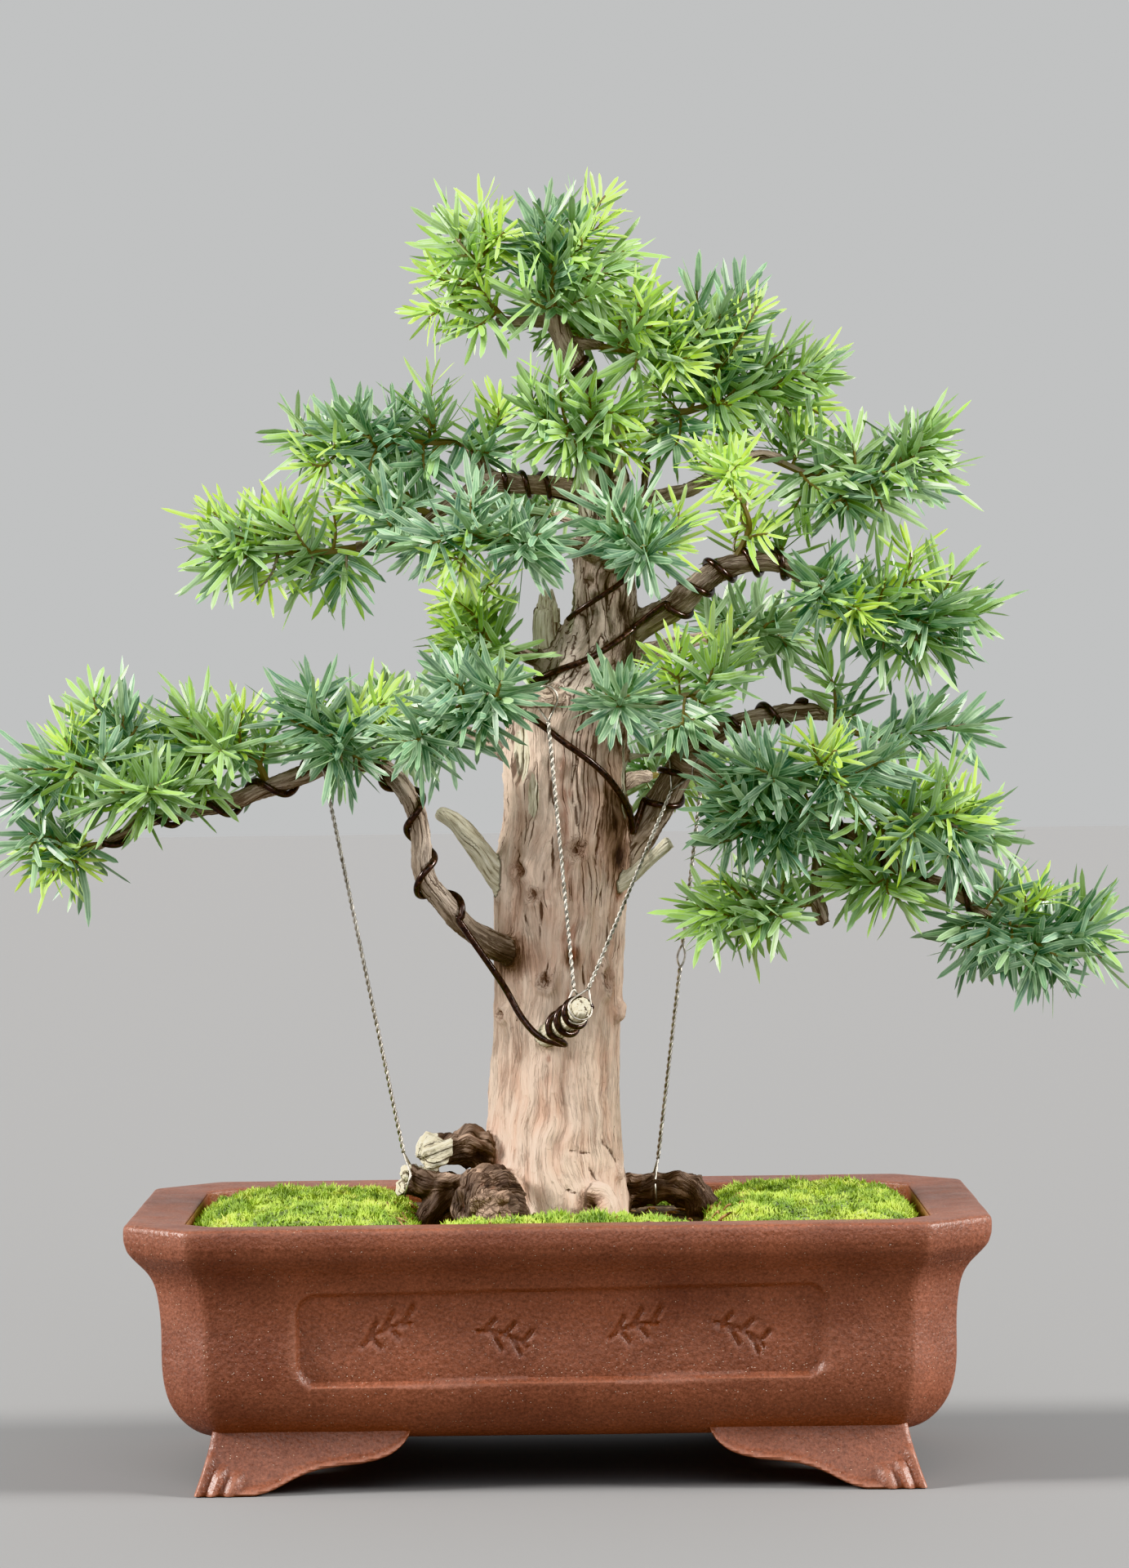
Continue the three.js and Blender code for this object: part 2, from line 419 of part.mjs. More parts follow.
function foot(sideX, sideY) {
  const front = footArm(22, 51);
  if (sideX < 0) front.rotateZ(Math.PI).translate(-FOOT.x, FOOT.y * sideY - (sideY > 0 ? FOOT.thick : 0), 0);
  else front.translate(FOOT.x, FOOT.y * sideY + (sideY < 0 ? FOOT.thick : 0), 0);
  const side = footArm(18, 26).rotateZ(Math.PI / 2);
  if (sideY < 0) side.rotateZ(Math.PI).translate(FOOT.x * sideX + (sideX < 0 ? FOOT.thick : 0), -FOOT.y, 0);
  else side.translate(FOOT.x * sideX - (sideX > 0 ? FOOT.thick : 0), FOOT.y, 0);
  return solidOf(splayed(front, sideX, sideY)).add(solidOf(splayed(side, sideX, sideY)));
}

function panelCutter() {
  const { left, right, bottom, top, corner: r } = PANEL;
  const s = new THREE.Shape();
  s.moveTo(left + r, bottom);
  s.lineTo(right - r, bottom);
  s.absarc(right - r, bottom + r, r, -Math.PI / 2, 0);
  s.absarc(right - r, top - r, r, 0, Math.PI / 2);
  s.absarc(left + r, top - r, r, Math.PI / 2, Math.PI);
  s.absarc(left + r, bottom + r, r, Math.PI, 1.5 * Math.PI);
  const slab = new THREE.ExtrudeGeometry(s, { depth: 20, bevelEnabled: false, curveSegments: 2 });
  return slab.rotateX(Math.PI / 2).translate(0, PANEL.floorY, 0);
}

function pot() {
  let body = solidOf(loft(OUTER_WALL.map(([inset, z]) => octagon(inset, z))));
  for (const sideX of [-1, 1]) for (const sideY of [-1, 1]) body = body.add(foot(sideX, sideY));
  body = body.subtract(solidOf(loft(INNER_WALL.map(([inset, z]) => octagon(inset, z)))));
  body = body.subtract(solidOf(panelCutter()));
  for (const side of [-1, 1]) {
    const hole = new THREE.CylinderGeometry(DRAIN.radius, DRAIN.radius, 40, 10).rotateX(Math.PI / 2);
    body = body.subtract(solidOf(hole.translate(POT.x + side * DRAIN.x, 0, POT.floor)));
  }
  return body;
}

// The trunk at a row of its outline: centre and half width
function trunkRow([height, left, right]) {
  const [l, r] = [at([left, height, 0]), at([right, height, 0])];
  return { centre: l.clone().lerp(r, 0.5), half: (r.x - l.x) / 2 };
}

// A point off the bark at a height, turned from the front (0) towards the right (90)
function onTrunk(height, degrees, distance) {
  const next = TRUNK.findIndex((row) => row[0] >= height);
  const [low, high] = [TRUNK[next - 1], TRUNK[next]];
  const share = (height - low[0]) / (high[0] - low[0]);
  const row = low.map((value, i) => THREE.MathUtils.lerp(value, high[i], share));
  const { centre, half } = trunkRow(row);
  const angle = THREE.MathUtils.degToRad(degrees);
  return new THREE.Vector3(
    centre.x + (half + distance) * Math.sin(angle),
    -(half * TRUNK_DEPTH + distance) * Math.cos(angle),
    height,
  );
}

// The trunk: rings that follow its outline, with shallow flutes that wander up it
function trunk(grow = 0) {
  const rings = TRUNK.map((row) => {
    const { centre, half } = trunkRow(row);
    return Array.from({ length: TRUNK_SIDES }, (_, i) => {
      const angle = (2 * Math.PI * i) / TRUNK_SIDES;
      const dip = Math.abs(Math.sin(angle)) * (0.5 + 0.5 * Math.sin(3 * angle + row[0] / 50));
      const size = half * (1 - FLUTE * dip);
      return new THREE.Vector3(
        centre.x + (size + grow) * Math.cos(angle),
        (size * TRUNK_DEPTH + grow) * Math.sin(angle),
        row[0],
      );
    });
  });
  return solidOf(loft(rings));
}

// The whole woody part, all grown in one piece
function wood(grow = 0) {
  const limbs = Object.values(LIMBS).map((row) => limbOf(row, grow));
  const knobs = KNOBS.map((row) => {
    const ball = new THREE.OctahedronGeometry(row[3] + grow, 1);
    return solidOf(ball.translate(...at(row).toArray()));
  });
  return largest(wasm.Manifold.union([trunk(grow), ...limbs, ...knobs]));
}

// A place on a branch's axis: centre, direction and radius at a share of its length
function along(name, share) {
  const [, rows] = LIMBS[name];
  const points = rows.map(at);
  const lengths = points.slice(1).map((point, i) => point.distanceTo(points[i]));
  let left = share * lengths.reduce((sum, length) => sum + length, 0);
  let k = 0;
  while (k + 1 < lengths.length && left > lengths[k]) {
    left -= lengths[k];
    k++;
  }
  const part = left / lengths[k];
  const tangents = tangentsOf(points);
  return {
    centre: points[k].clone().lerp(points[k + 1], part),
    tangent: tangents[k].clone().lerp(tangents[k + 1], part).normalize(),
    radius: THREE.MathUtils.lerp(rows[k][3], rows[k + 1][3], part),
  };
}

// A point at an angle round a branch: 0 is its back, or its top where it points to the front
function around({ centre, tangent }, degrees, distance) {
  const up = Math.abs(tangent.y) > 0.8 ? new THREE.Vector3(0, 0, 1) : new THREE.Vector3(0, 1, 0);
  const side = new THREE.Vector3().crossVectors(tangent, up).normalize();
  const top = new THREE.Vector3().crossVectors(side, tangent);
  const angle = THREE.MathUtils.degToRad(degrees);
  return centre
    .clone()
    .addScaledVector(top, distance * Math.cos(angle))
    .addScaledVector(side, distance * Math.sin(angle));
}

const COIL_STEPS = 6; // straight steps in each turn of a coil
const LEAD_CLEARANCE = 1.5; // off the bark, for the straight steps of a lead
const COIL_SLACK = 1 / Math.cos(Math.PI / COIL_STEPS); // keeps the middle of each step off the bark

function coilPath({ coil, from, to, turns, first }, radius) {
  const steps = Math.round(turns * COIL_STEPS);
  return Array.from({ length: steps + 1 }, (_, s) => {
    const place = along(coil, THREE.MathUtils.lerp(from, to, s / steps));
    const distance = (place.radius + radius + GAP) * COIL_SLACK;
    return around(place, first + (360 * turns * s) / steps, distance);
  });
}

function wirePath([radius, runs]) {
  return runs.flatMap((run) => {
    if (run.free) return run.free.map(at);
    if (run.trunk) return run.trunk.map(([height, turn]) => onTrunk(height, turn, radius + LEAD_CLEARANCE));
    return coilPath(run, radius);
  });
}

function segments(path, radius) {
  return path.slice(1).map((end, i) => ({ start: path[i], end, radius }));
}

// A guy wire: a taut line between two branches, opening into a loop round each
function guyPaths([fromHost, fromShare], [toHost, toShare]) {
  const hosts = [along(fromHost, fromShare), along(toHost, toShare)];
  const way = hosts[0].centre.clone().sub(hosts[1].centre).normalize();
  const forks = hosts.map(({ centre, radius }, i) =>
    centre.clone().addScaledVector(way, (i === 0 ? -1 : 1) * (FORK.share * radius + FORK.more)));
  const loops = hosts.map(({ centre, tangent, radius }, i) => {
    const towards = way.clone().multiplyScalar(i === 0 ? -1 : 1);
    towards.addScaledVector(tangent, -towards.dot(tangent)).normalize();
    const across = new THREE.Vector3().crossVectors(towards, tangent);
    const reach = (radius + STRAND_RADIUS + GAP) * LOOP_SLACK;
    const turn = LOOP_TURNS.map((degrees) => {
      const angle = THREE.MathUtils.degToRad(degrees);
      return centre
        .clone()
        .addScaledVector(towards, reach * Math.cos(angle))
        .addScaledVector(across, reach * Math.sin(angle));
    });
    return [forks[i], ...turn, forks[i].clone().addScaledVector(across, -GAP)];
  });
  return { line: forks, loops };
}

function guy([from, to], grow = 0) {
  const { line, loops } = guyPaths(from, to);
  const rods = loops.map((loop) => rodOf(loop, STRAND_RADIUS + grow, 4));
  return wasm.Manifold.union([rodOf(line, GUY_RADIUS + grow, 4), ...rods]);
}

// Seeded random numbers, the same in every run
function random(seed) {
  let state = seed;
  return () => {
    state = (Math.imul(state, 1664525) + 1013904223) >>> 0;
    return state / 4294967296;
  };
}

// The shortest distance between two straight pieces, by stepping along the first
function distanceBetween(p, q, a, b) {
  const line = new THREE.Line3(a, b);
  const near = new THREE.Vector3();
  let best = Infinity;
  for (let s = 0; s <= 6; s++) {
    const point = p.clone().lerp(q, s / 6);
    line.closestPointToPoint(point, true, near);
    best = Math.min(best, point.distanceTo(near));
  }
  return best;
}

// A three-sided spike to a point. Its root lies flat along `wideWay`, sunk in the wood that it grows from,
// and is as long there as the slant needs to make the spike `width` wide.
function spike(root, tip, wideWay, width, thick) {
  const heading = tip.clone().sub(root).normalize();
  const up = new THREE.Vector3().crossVectors(heading, wideWay);
  const reach = width / 2 / up.length();
  up.normalize();
  const points = [
    root.clone().addScaledVector(wideWay, reach).addScaledVector(up, -thick / 3),
    root.clone().addScaledVector(up, (thick * 2) / 3),
    root.clone().addScaledVector(wideWay, -reach).addScaledVector(up, -thick / 3),
    tip,
  ];
  const geometry = new THREE.BufferGeometry().setFromPoints(points);
  geometry.setIndex([0, 2, 1, 0, 1, 3, 1, 2, 3, 2, 0, 3]);
  return solidOf(geometry);
}

// Needles of one three-sided shoot, one on each face in turn, opening less towards the tip. What would
// touch another piece is turned a little, or left out where it still does.
function needlesOf({ start, end, roll }, draw, isClear) {
  const axis = end.clone().sub(start);
  const way = axis.clone().normalize();
  const count = Math.round(NEEDLE.least + axis.length() / NEEDLE.spacing);
  const made = [];
  for (let i = 0; i < count; i++) {
    const share = (i + 0.5) / count;
    const leafy = Math.max(NEEDLE.bare / 3, axis.length() - NEEDLE.bare);
    const root = start.clone().addScaledVector(way, NEEDLE.first + share * leafy);
    const reach = NEEDLE.length * THREE.MathUtils.lerp(NEEDLE.shortest, NEEDLE.longest, draw());
    const open = THREE.MathUtils.lerp(NEEDLE.openLow, NEEDLE.openHigh, share) + NEEDLE.openMore * draw();
    const lean = THREE.MathUtils.degToRad(open);
    for (const turn of NEEDLE_TURNS) {
      const out = sideways(way, roll + THREE.MathUtils.degToRad(60 + 120 * i + turn));
      const heading = way.clone().multiplyScalar(Math.cos(lean)).addScaledVector(out, Math.sin(lean));
      const tip = root.clone().addScaledVector(heading, reach);
      const free = root.clone().addScaledVector(heading, NEEDLE.clearAfter);
      if (isClear(free, tip)) {
        const solid = spike(root, tip, way, NEEDLE.width, NEEDLE.thick);
        made.push({ start: free, end: tip, radius: NEEDLE.thick / 2, solid });
        break;
      }
    }
  }
  return made;
}

// A spray: its stem, its shoots and their needles, fused; cut clear of the wood and the wires
function spray([stem, shoots], seed, taken, cutters) {
  const draw = random(seed);
  const stemPoints = stem.map(at);
  const stemLine = new THREE.CatmullRomCurve3(stemPoints).getSpacedPoints(30);
  const nearStem = (point) => stemLine.reduce((best, other) =>
    (other.distanceTo(point) < best.distanceTo(point) ? other : best));
  const [beforeLast, last] = stemPoints.slice(-2);
  const axes = [{ start: beforeLast.clone().lerp(last, 0.3), end: last, roll: 0, radius: SHOOT_RADIUS }];
  for (const row of shoots) {
    const [start, end] = [nearStem(at(row.slice(0, 3))), at(row.slice(3))];
    axes.push({ start, end, roll: Math.PI * draw(), radius: SHOOT_RADIUS });
  }
  const stemPieces = segments(stemPoints, STEM_RADIUS);
  const beyond = END_NEEDLE;
  const bodies = [limb(stemPoints, stem.map((row) => Math.max(row[3], STEM_RADIUS)), 3, { beyond })];
  for (const { start, end, roll } of axes.slice(1)) {
    bodies.push(limb([start, end], [SHOOT_NECK, SHOOT_RADIUS], 3, { roll, beyond }));
  }
  const own = [];
  const clears = (a, b, pieces, room) =>
    pieces.every((piece) => distanceBetween(a, b, piece.start, piece.end) > piece.radius + room);
  axes.forEach((axis, i) => {
    const woods = [...axes.filter((_, k) => k !== i), ...(i === 0 ? stemPieces.slice(0, -1) : stemPieces)];
    const isClear = (root, tip) =>
      clears(root, tip, taken, NEEDLE.width / 2 + GAP) &&
      clears(root, tip, own, NEEDLE.width / 2) &&
      clears(root.clone().lerp(tip, 0.12), tip, woods, NEEDLE.thick);
    const made = needlesOf(axis, draw, isClear);
    bodies.push(...made.map((one) => one.solid));
    own.push(...made);
  });
  for (const { start, end } of axes) {
    const tip = end.clone().addScaledVector(end.clone().sub(start).normalize(), beyond);
    taken.push({ start, end: tip, radius: SHOOT_RADIUS });
  }
  taken.push(...stemPieces, ...own);
  const fused = wasm.Manifold.union(bodies);
  return largest(cutters.reduce((left, cutter) => left.subtract(cutter), fused));
}

// Moss: a low rounded-rectangular cushion with soft lumps
function mossCushion([x, y, halfX, halfY, height]) {
  const sides = 12;
  const bulge = (value) => Math.sign(value) * Math.sqrt(Math.abs(value));
  const ring = (share, z) => Array.from({ length: sides }, (_, i) => {
    const angle = (2 * Math.PI * (i + 0.5)) / sides;
    const px = x + halfX * share * bulge(Math.cos(angle));
    const py = y + halfY * share * bulge(Math.sin(angle));
    const lump = 1 + 0.16 * Math.sin(px / 9) * Math.cos(py / 8);
    return new THREE.Vector3(px, py, SOIL_TOP + GAP + z * lump);
  });
  const rings = [ring(0.96, 0), ring(1, height * 0.4), ring(0.86, height * 0.9), ring(0.5, height)];
  return solidOf(loft(rings));
}

function mesh(name, solid, material) {
  const [color, roughness, metalness] = MATERIALS[material];
  const look = new THREE.MeshStandardMaterial({ color, roughness, metalness, name: material });
  const made = new THREE.Mesh(geometryOf(solid), look);
  made.name = name;
  return made;
}

const plant = new THREE.Group();
const woodSolid = wood();
const grownWood = wood(GAP);
const holder = new THREE.Group();
const potSolid = pot();
holder.add(mesh("pot", potSolid, "clay"));

// Soil fills the pot to just under the rim, with a hole where the root base stands
const soilRings = [[30.6, POT.floor + GAP], [24.4, 36.3], [POT.lip + GAP, 60.3], [POT.lip + GAP, SOIL_TOP]];
const soilBlock = solidOf(loft(soilRings.map(([inset, z]) => octagon(inset, z))));
holder.add(mesh("soil", largest(soilBlock.subtract(grownWood)), "soil"));
for (const [name, row] of Object.entries(MOSS)) {
  holder.add(mesh(name, largest(mossCushion(row).subtract(grownWood)), "moss"));
}

const tree = new THREE.Group();
tree.add(mesh("trunk_and_branches", woodSolid, "bark"));

// Everything already in place that a needle has to miss
const taken = [];
for (const [, rows] of Object.values(LIMBS)) {
  rows.slice(1).forEach((row, i) => {
    taken.push({ start: at(rows[i]), end: at(row), radius: Math.max(rows[i][3], row[3]) + GAP });
  });
}
for (let i = 0; i + 1 < TRUNK.length; i++) {
  const [low, high] = [TRUNK[i], TRUNK[i + 1]];
  const middle = ([height, left, right]) => at([(left + right) / 2, height, 0]);
  taken.push({ start: middle(low), end: middle(high), radius: (low[2] - low[1]) / 2 + 1 });
}

const cutters = [grownWood];
for (const [name, wire] of Object.entries(WIRES)) {
  const path = wirePath(wire);
  const [radius] = wire;
  tree.add(mesh(name, largest(rodOf(path, radius, 4).subtract(grownWood)), "training_wire"));
  cutters.push(rodOf(path, radius + GAP, 4));
  taken.push(...segments(path, radius + GAP));
}
for (const [name, ends] of Object.entries(GUYS)) {
  const tied = cutters.reduce((left, cutter) => left.subtract(cutter), guy(ends));
  tree.add(mesh(name, largest(tied), "guy_wire"));
  cutters.push(guy(ends, GAP));
  taken.push(...segments(guyPaths(...ends).line, GUY_RADIUS + GAP));
}
Object.entries(SPRAYS).forEach(([name, row], i) => {
  tree.add(mesh(name, spray(row, 11 + 7 * i, taken, cutters), "needles"));
});

plant.add(holder, tree);
plant.position.z = -FOOT.sole; // the soles rest on the ground
export default plant;
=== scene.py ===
"""A yew bonsai in a clay pot, dressed around its solid model: fine bark, twisted wires, leaves and moss."""

import math
from functools import partial

import bpy
import numpy as np
from mathutils import Matrix, Vector


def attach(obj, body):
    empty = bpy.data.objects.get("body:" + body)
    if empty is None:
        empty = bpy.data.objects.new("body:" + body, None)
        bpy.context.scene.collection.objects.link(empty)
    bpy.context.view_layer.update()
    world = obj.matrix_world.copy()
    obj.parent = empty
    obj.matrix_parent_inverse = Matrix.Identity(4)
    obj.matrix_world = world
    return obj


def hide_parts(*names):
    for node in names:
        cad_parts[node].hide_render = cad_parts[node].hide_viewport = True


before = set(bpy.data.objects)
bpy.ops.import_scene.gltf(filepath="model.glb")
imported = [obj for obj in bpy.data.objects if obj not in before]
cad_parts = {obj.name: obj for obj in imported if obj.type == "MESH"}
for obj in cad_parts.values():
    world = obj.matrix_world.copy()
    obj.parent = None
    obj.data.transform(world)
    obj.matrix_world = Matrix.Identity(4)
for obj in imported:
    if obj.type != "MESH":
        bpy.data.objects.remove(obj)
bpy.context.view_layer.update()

bl_info = {
    "name": "Yew bonsai in a clay pot",
    "version": (1, 0, 0),
    "blender": (4, 5, 0),
    "location": "View3D > Sidebar > Bonsai",
    "description": "Builds the fine pieces, finishes and studio of a potted yew bonsai",
    "category": "Object",
}

# Lengths are millimetres up to the point where a mesh is filled
METRE = 0.001
BODY = "root"
LIFT = 1.4  # the soles stand this far under the level that heights are counted from
GAP = 0.3  # clearance between pieces that touch
SIDES = {"trunk": 64, "limb": 18, "wire": 10, "strand": 7, "twig": 5}  # corners of round sections
STEP = {"trunk": 2.0, "limb": 1.6, "wire": 0.9, "strand": 0.8, "stem": 2.5}  # between points along each
SEEDS = {"fibres": 90, "moss": 300, "litter": 350, "sprays": 700}  # starts of the random draws
EYE = np.array([2.0, -1790.0, 283.0])  # the point that the front view is seen from
PITCH = math.radians(0.925)  # the view tips down
ROLL = math.radians(0.7)  # and leans to one side
FOCAL = 109.16  # for a picture 36 mm high
FLOOR_HALF = 9000.0
ROOM_LIGHT = 0.68
# Lamps so wide and far that light falls evenly: where each stands, how wide it looks, its power and tint
LAMPS = [
    ("left", (-1.0, -0.2, 0.55), 18, 1.0, "#fffaf5"), ("right", (1.0, -0.18, 0.5), 18, 0.9, "#fffaf5"),
    ("front", (0.1, -1.0, 0.6), 50, 0.16, "#ffffff"),
]

# Pot: middle, half sizes, leg of the cut corner, and the wall's profile as (inset, height)
POT = {"x": -2.5, "half_width": 158, "half_depth": 90, "corner": 24}
CORNER_EASE = 2.0  # places this far apart are averaged at each corner
HAND_WOBBLE = 0.22  # unevenness of the hand-made wall
SHARP_EDGE = math.radians(42)  # edges that turn more than this stay crisp
OUTER_WALL = [
    (36, 17), (29.5, 18), (23.6, 20.8), (18.4, 26), (14.8, 33), (13, 43), (12.8, 58), (12.2, 66), (11.2, 72),
    (9.8, 76), (7.6, 79.4), (5, 82.2), (2.8, 84.6), (1.3, 86.6), (0.5, 88.8), (0, 91), (0, 95), (0.9, 96.6),
    (3, 97),
]
INNER_WALL = [(12, 96.6), (20, 96.2), (21.6, 95), (22, 92), (22, 60), (24, 36), (30, 28)]
PANEL = {"left": -97, "right": 94, "bottom": 40, "top": 73, "corner": 7, "depth": 2.2, "lean": 0.0125,
         "slope": 1.6, "groove": 1.3}
PANEL_ROWS = (36, 76)  # heights between which the wall has a row of points each millimetre
# Leaf sprigs cut into the panel: middle, height, lean of the stem; and the half widths of the cuts
SPRIGS = [(-66, 57, 0.5), (-22, 55, -0.35), (24, 57.5, 0.3), (64, 55.5, -0.5)]
STEM_GROOVE, LEAF_GROOVE = 0.9, 1.25
# Bracket feet: corner, thickness, top and sole; arms as toe and reach; splay of the toes outwards; and
# how far claws, lip and the valleys between them stand out or lie in
FOOT = {"x": 126, "y": 67, "thick": 13, "top": 25, "sole": -1.4, "front_arm": (22, 51), "side_arm": (18, 26),
        "splay": 7.2, "claw": 2.7, "lip": 1.9, "valley": 1.1}
# Lobes of a toe: distance from the middle of the pot, half width, height
CLAWS = [(125.6, 3.0, 15), (119.4, 2.3, 10.5), (113.0, 2.7, 8.5)]
SOIL_TOP = 90
GROUND = SOIL_TOP + GAP + LIFT  # height that the moss stands on

# Trunk outline seen from the front: height, left edge, right edge
TRUNK = [
    (58, -20, 18), (86, -28.5, 24), (112, -29.5, 22.5), (132, -28, 21.2), (155, -26, 21.2),
    (176, -25.4, 22.8), (206, -25.2, 24.6), (224, -24.8, 25.8), (240, -21.4, 26.2), (270, -20, 26),
    (286, -16, 27.8), (300, -4, 30), (316, 3.5, 30.8), (332, 5.5, 29.4), (358, 9, 28.6), (372, 13, 27.6),
]
TRUNK_DEPTH = 0.9
FLUTE = 0.08

# Limbs as rows of x, height and depth as seen on the plane through the trunk, and radius
BRANCHES = {
    "low_left": [
        (-14, 190, -8, 5.6), (-24, 193, -17, 5), (-35, 200, -24, 4.4), (-44, 210, -29, 4.2),
        (-51, 219, -32, 4), (-52.5, 232, -32, 3.8), (-54, 244, -31, 3.8), (-61, 256, -30, 3.8),
        (-71, 263, -28, 3.8), (-85, 263, -26, 3.7), (-98, 258, -25, 3.6), (-112, 253, -24, 3.5),
        (-126, 248, -24, 3.2), (-142, 245, -24, 2.8), (-158, 241, -25, 2.4), (-170, 235, -26, 2.1),
        (-178, 231, -26, 1.8)],
    "low_right": [
        (16, 218, 4, 7.4), (27, 230, 6, 6.5), (34, 240, 5, 6), (42, 253, 2, 5.6), (50, 266, -2, 5),
        (62, 274, -5, 4), (75, 278, -6, 3.6), (88, 280, -6, 3.4), (98, 280, -6, 3), (102, 278, -6, 1.8)],
    "low_right_droop": [
        (46, 262, -2, 4.6), (62, 256, -18, 4.2), (80, 247, -26, 3.8), (98, 239, -28, 3.4),
        (113, 232, -28, 3.1), (124, 223, -27, 2.9), (134, 218, -26, 2.7), (145, 214, -25, 2.4),
        (156, 206, -24, 2.1), (161, 203, -24, 2)],
    "low_right_hook": [
        (92, 241, -28, 2.4), (97, 226, -30, 2.4), (96, 214, -31, 2.5), (98, 204, -31, 3.2),
        (99, 200, -31, 2.6)],
    "mid_right": [
        (22, 308, 0, 6.2), (34, 315, -3, 5.4), (44, 320, -6, 5), (54, 329, -8, 4.6), (64, 335, -9, 4.4),
        (76, 337, -9, 4), (87, 335, -9, 3.5), (93, 331, -9, 2.8)],
    "upper_left": [
        (14, 363, -2, 4.4), (0, 366, -6, 3.8), (-12, 367, -8, 3.6), (-25, 368, -9, 3.8), (-36, 362, -9, 3.2),
        (-48, 355, -9, 2.8), (-60, 347, -8, 2.3), (-76, 344, -7, 2)],
    "upper_left_top": [(-24, 367, -9, 3), (-29, 377, -7, 2.6), (-36, 384, -4, 2.2)],
    "upper_right": [
        (22, 357, 0, 4.2), (36, 361, -4, 3.2), (50, 364, -8, 2.8), (62, 371, -8, 2.5), (76, 377, -4, 2.2),
        (86, 375, -2, 2)],
    "leader": [
        (23, 364, 5, 5.4), (19, 384, 5, 4.8), (14, 398, 3, 4.6), (8, 412, 1, 4.4), (3, 423, 0, 4.1),
        (0, 433, 0, 3)],
    "shoulder": [
        (26, 348, 6, 2.7), (33, 364, 6, 1.9), (35, 380, 5, 1.6), (39, 391, 4, 1.6), (51, 394, 4, 1.5)],
    "apex_left": [(1, 428, 0, 2.6), (-12, 428, 2, 2.2), (-22, 428.5, 3, 2)],
    "apex_right": [(5, 420, 0, 2.6), (19, 419, -3, 2.1)],
    "front_upper": [(16, 341, -3, 4.8), (4, 344, -38, 3), (-8, 345, -58, 2.2)],
    "front_upper_right": [(19, 335, -3, 4), (28, 342, -38, 2.2)],
    "front_mid": [(3, 288, -10, 4.8), (-8, 286, -38, 3.2), (-20, 286, -56, 2.4)],
    "front_mid_right": [(12, 283, -8, 4), (20, 284, -44, 2.2)],
    "mid_left": [(0, 298, -2, 3.8), (-16, 304, -6, 2.4)],
    "mid_right_inner": [(24, 284, -6, 3.6), (42, 286, -12, 2.2)],
    "back_upper": [(18, 346, 10, 4.4), (10, 352, 33, 3), (0, 355, 47, 2.2)],
    "back_right": [(24, 300, 10, 4.6), (44, 306, 31, 3.2), (58, 309, 44, 2.4)],
    "back_left": [(-8, 260, 12, 5.2), (-30, 272, 34, 3.6), (-48, 276, 49, 2.6)],
    "back_low": [(8, 245, 13, 5), (24, 254, 37, 3.4), (34, 257, 53, 2.4)],
    "back_apex": [(6, 414, 1, 2.6), (10, 420, 16, 1.8)],
}
# Deadwood: stripped branches and cut stubs
STUBS = {
    "jin_left": [(-17, 211, -4, 5.6), (-26, 223, -8, 4.6), (-33, 233, -10, 4), (-39.5, 240.5, -11, 3.6),
                 (-46, 244.5, -12, 2.6)],
    "jin_right": [(18, 213, -8, 3.6), (30, 222, -14, 2.8), (41.5, 232, -18, 2.5)],
    "jin_back_twig": [(22, 264, 4, 1.8), (41, 265, 6, 1.2)],
    "front_stub": [(-8, 158, -16, 5.0), (0, 163, -34, 4.0), (8, 170.5, -52, 3.5)],
    "shoulder_stub": [(-2, 284, 2, 6), (-4, 304, 2, 5.2), (-4, 320, 2, 4.8)],
    "top_stub_left": [(14, 354, -4, 5.4), (12, 370, -4, 4.6), (12, 380, -4, 4.0)],
    "top_stub_right": [(22, 356, -3, 5.6), (22.5, 372, -3, 4.4), (23, 384, -2, 3)],
}
ROOTS = {
    "root_top": [(-20, 110, -4, 9), (-33, 117, -8, 6.8), (-43, 117, -10, 6.4), (-53, 114.5, -12, 6.4)],
    "root_knee": [(-22, 98, -8, 10), (-40, 101, -12, 7), (-51, 103, -14, 5.6), (-61, 106, -14, 4.8)],
    "root_front": [(-16, 98, -10, 10), (-28, 100, -22, 9), (-34, 97, -30, 7.5), (-36, 88, -34, 6)],
    "root_sawn": [(-18, 90, -16, 7), (-24, 92, -32, 8), (-28, 94, -42, 7.6)],
    "root_down": [(-38, 102, -12, 6), (-48, 94, -16, 6.4), (-52, 80, -18, 4)],
    "root_right": [(12, 98, 6, 9), (30, 101, 10, 5.6), (44, 101, 10, 5.2), (52, 96, 8, 4.8), (55, 82, 8, 4)],
    "root_base": [(8, 98, -14, 8), (12, 96, -19.5, 7), (17, 84, -26, 5)],
    "root_back": [(0, 96, 12, 12), (-6, 93, 32, 8), (-12, 80, 48, 5)],
}
KNOBS = [(22.6, 169.8, -5, 2.0), (21.6, 166.6, -6, 2.3), (20.5, 107, -9, 2.8), (-22, 212, -6, 3.4)]
LIMBS = {**BRANCHES, **STUBS, **ROOTS}
WOOD_NAMES = ["trunk", *LIMBS]
TORN = ("shoulder_stub", "top_stub_left", "top_stub_right")
CUT_ROOTS = ("root_top", "root_knee", "root_sawn")
SWOLLEN_FOOT = ("trunk", "root_base", "root_back")  # these carry the trunk's bark

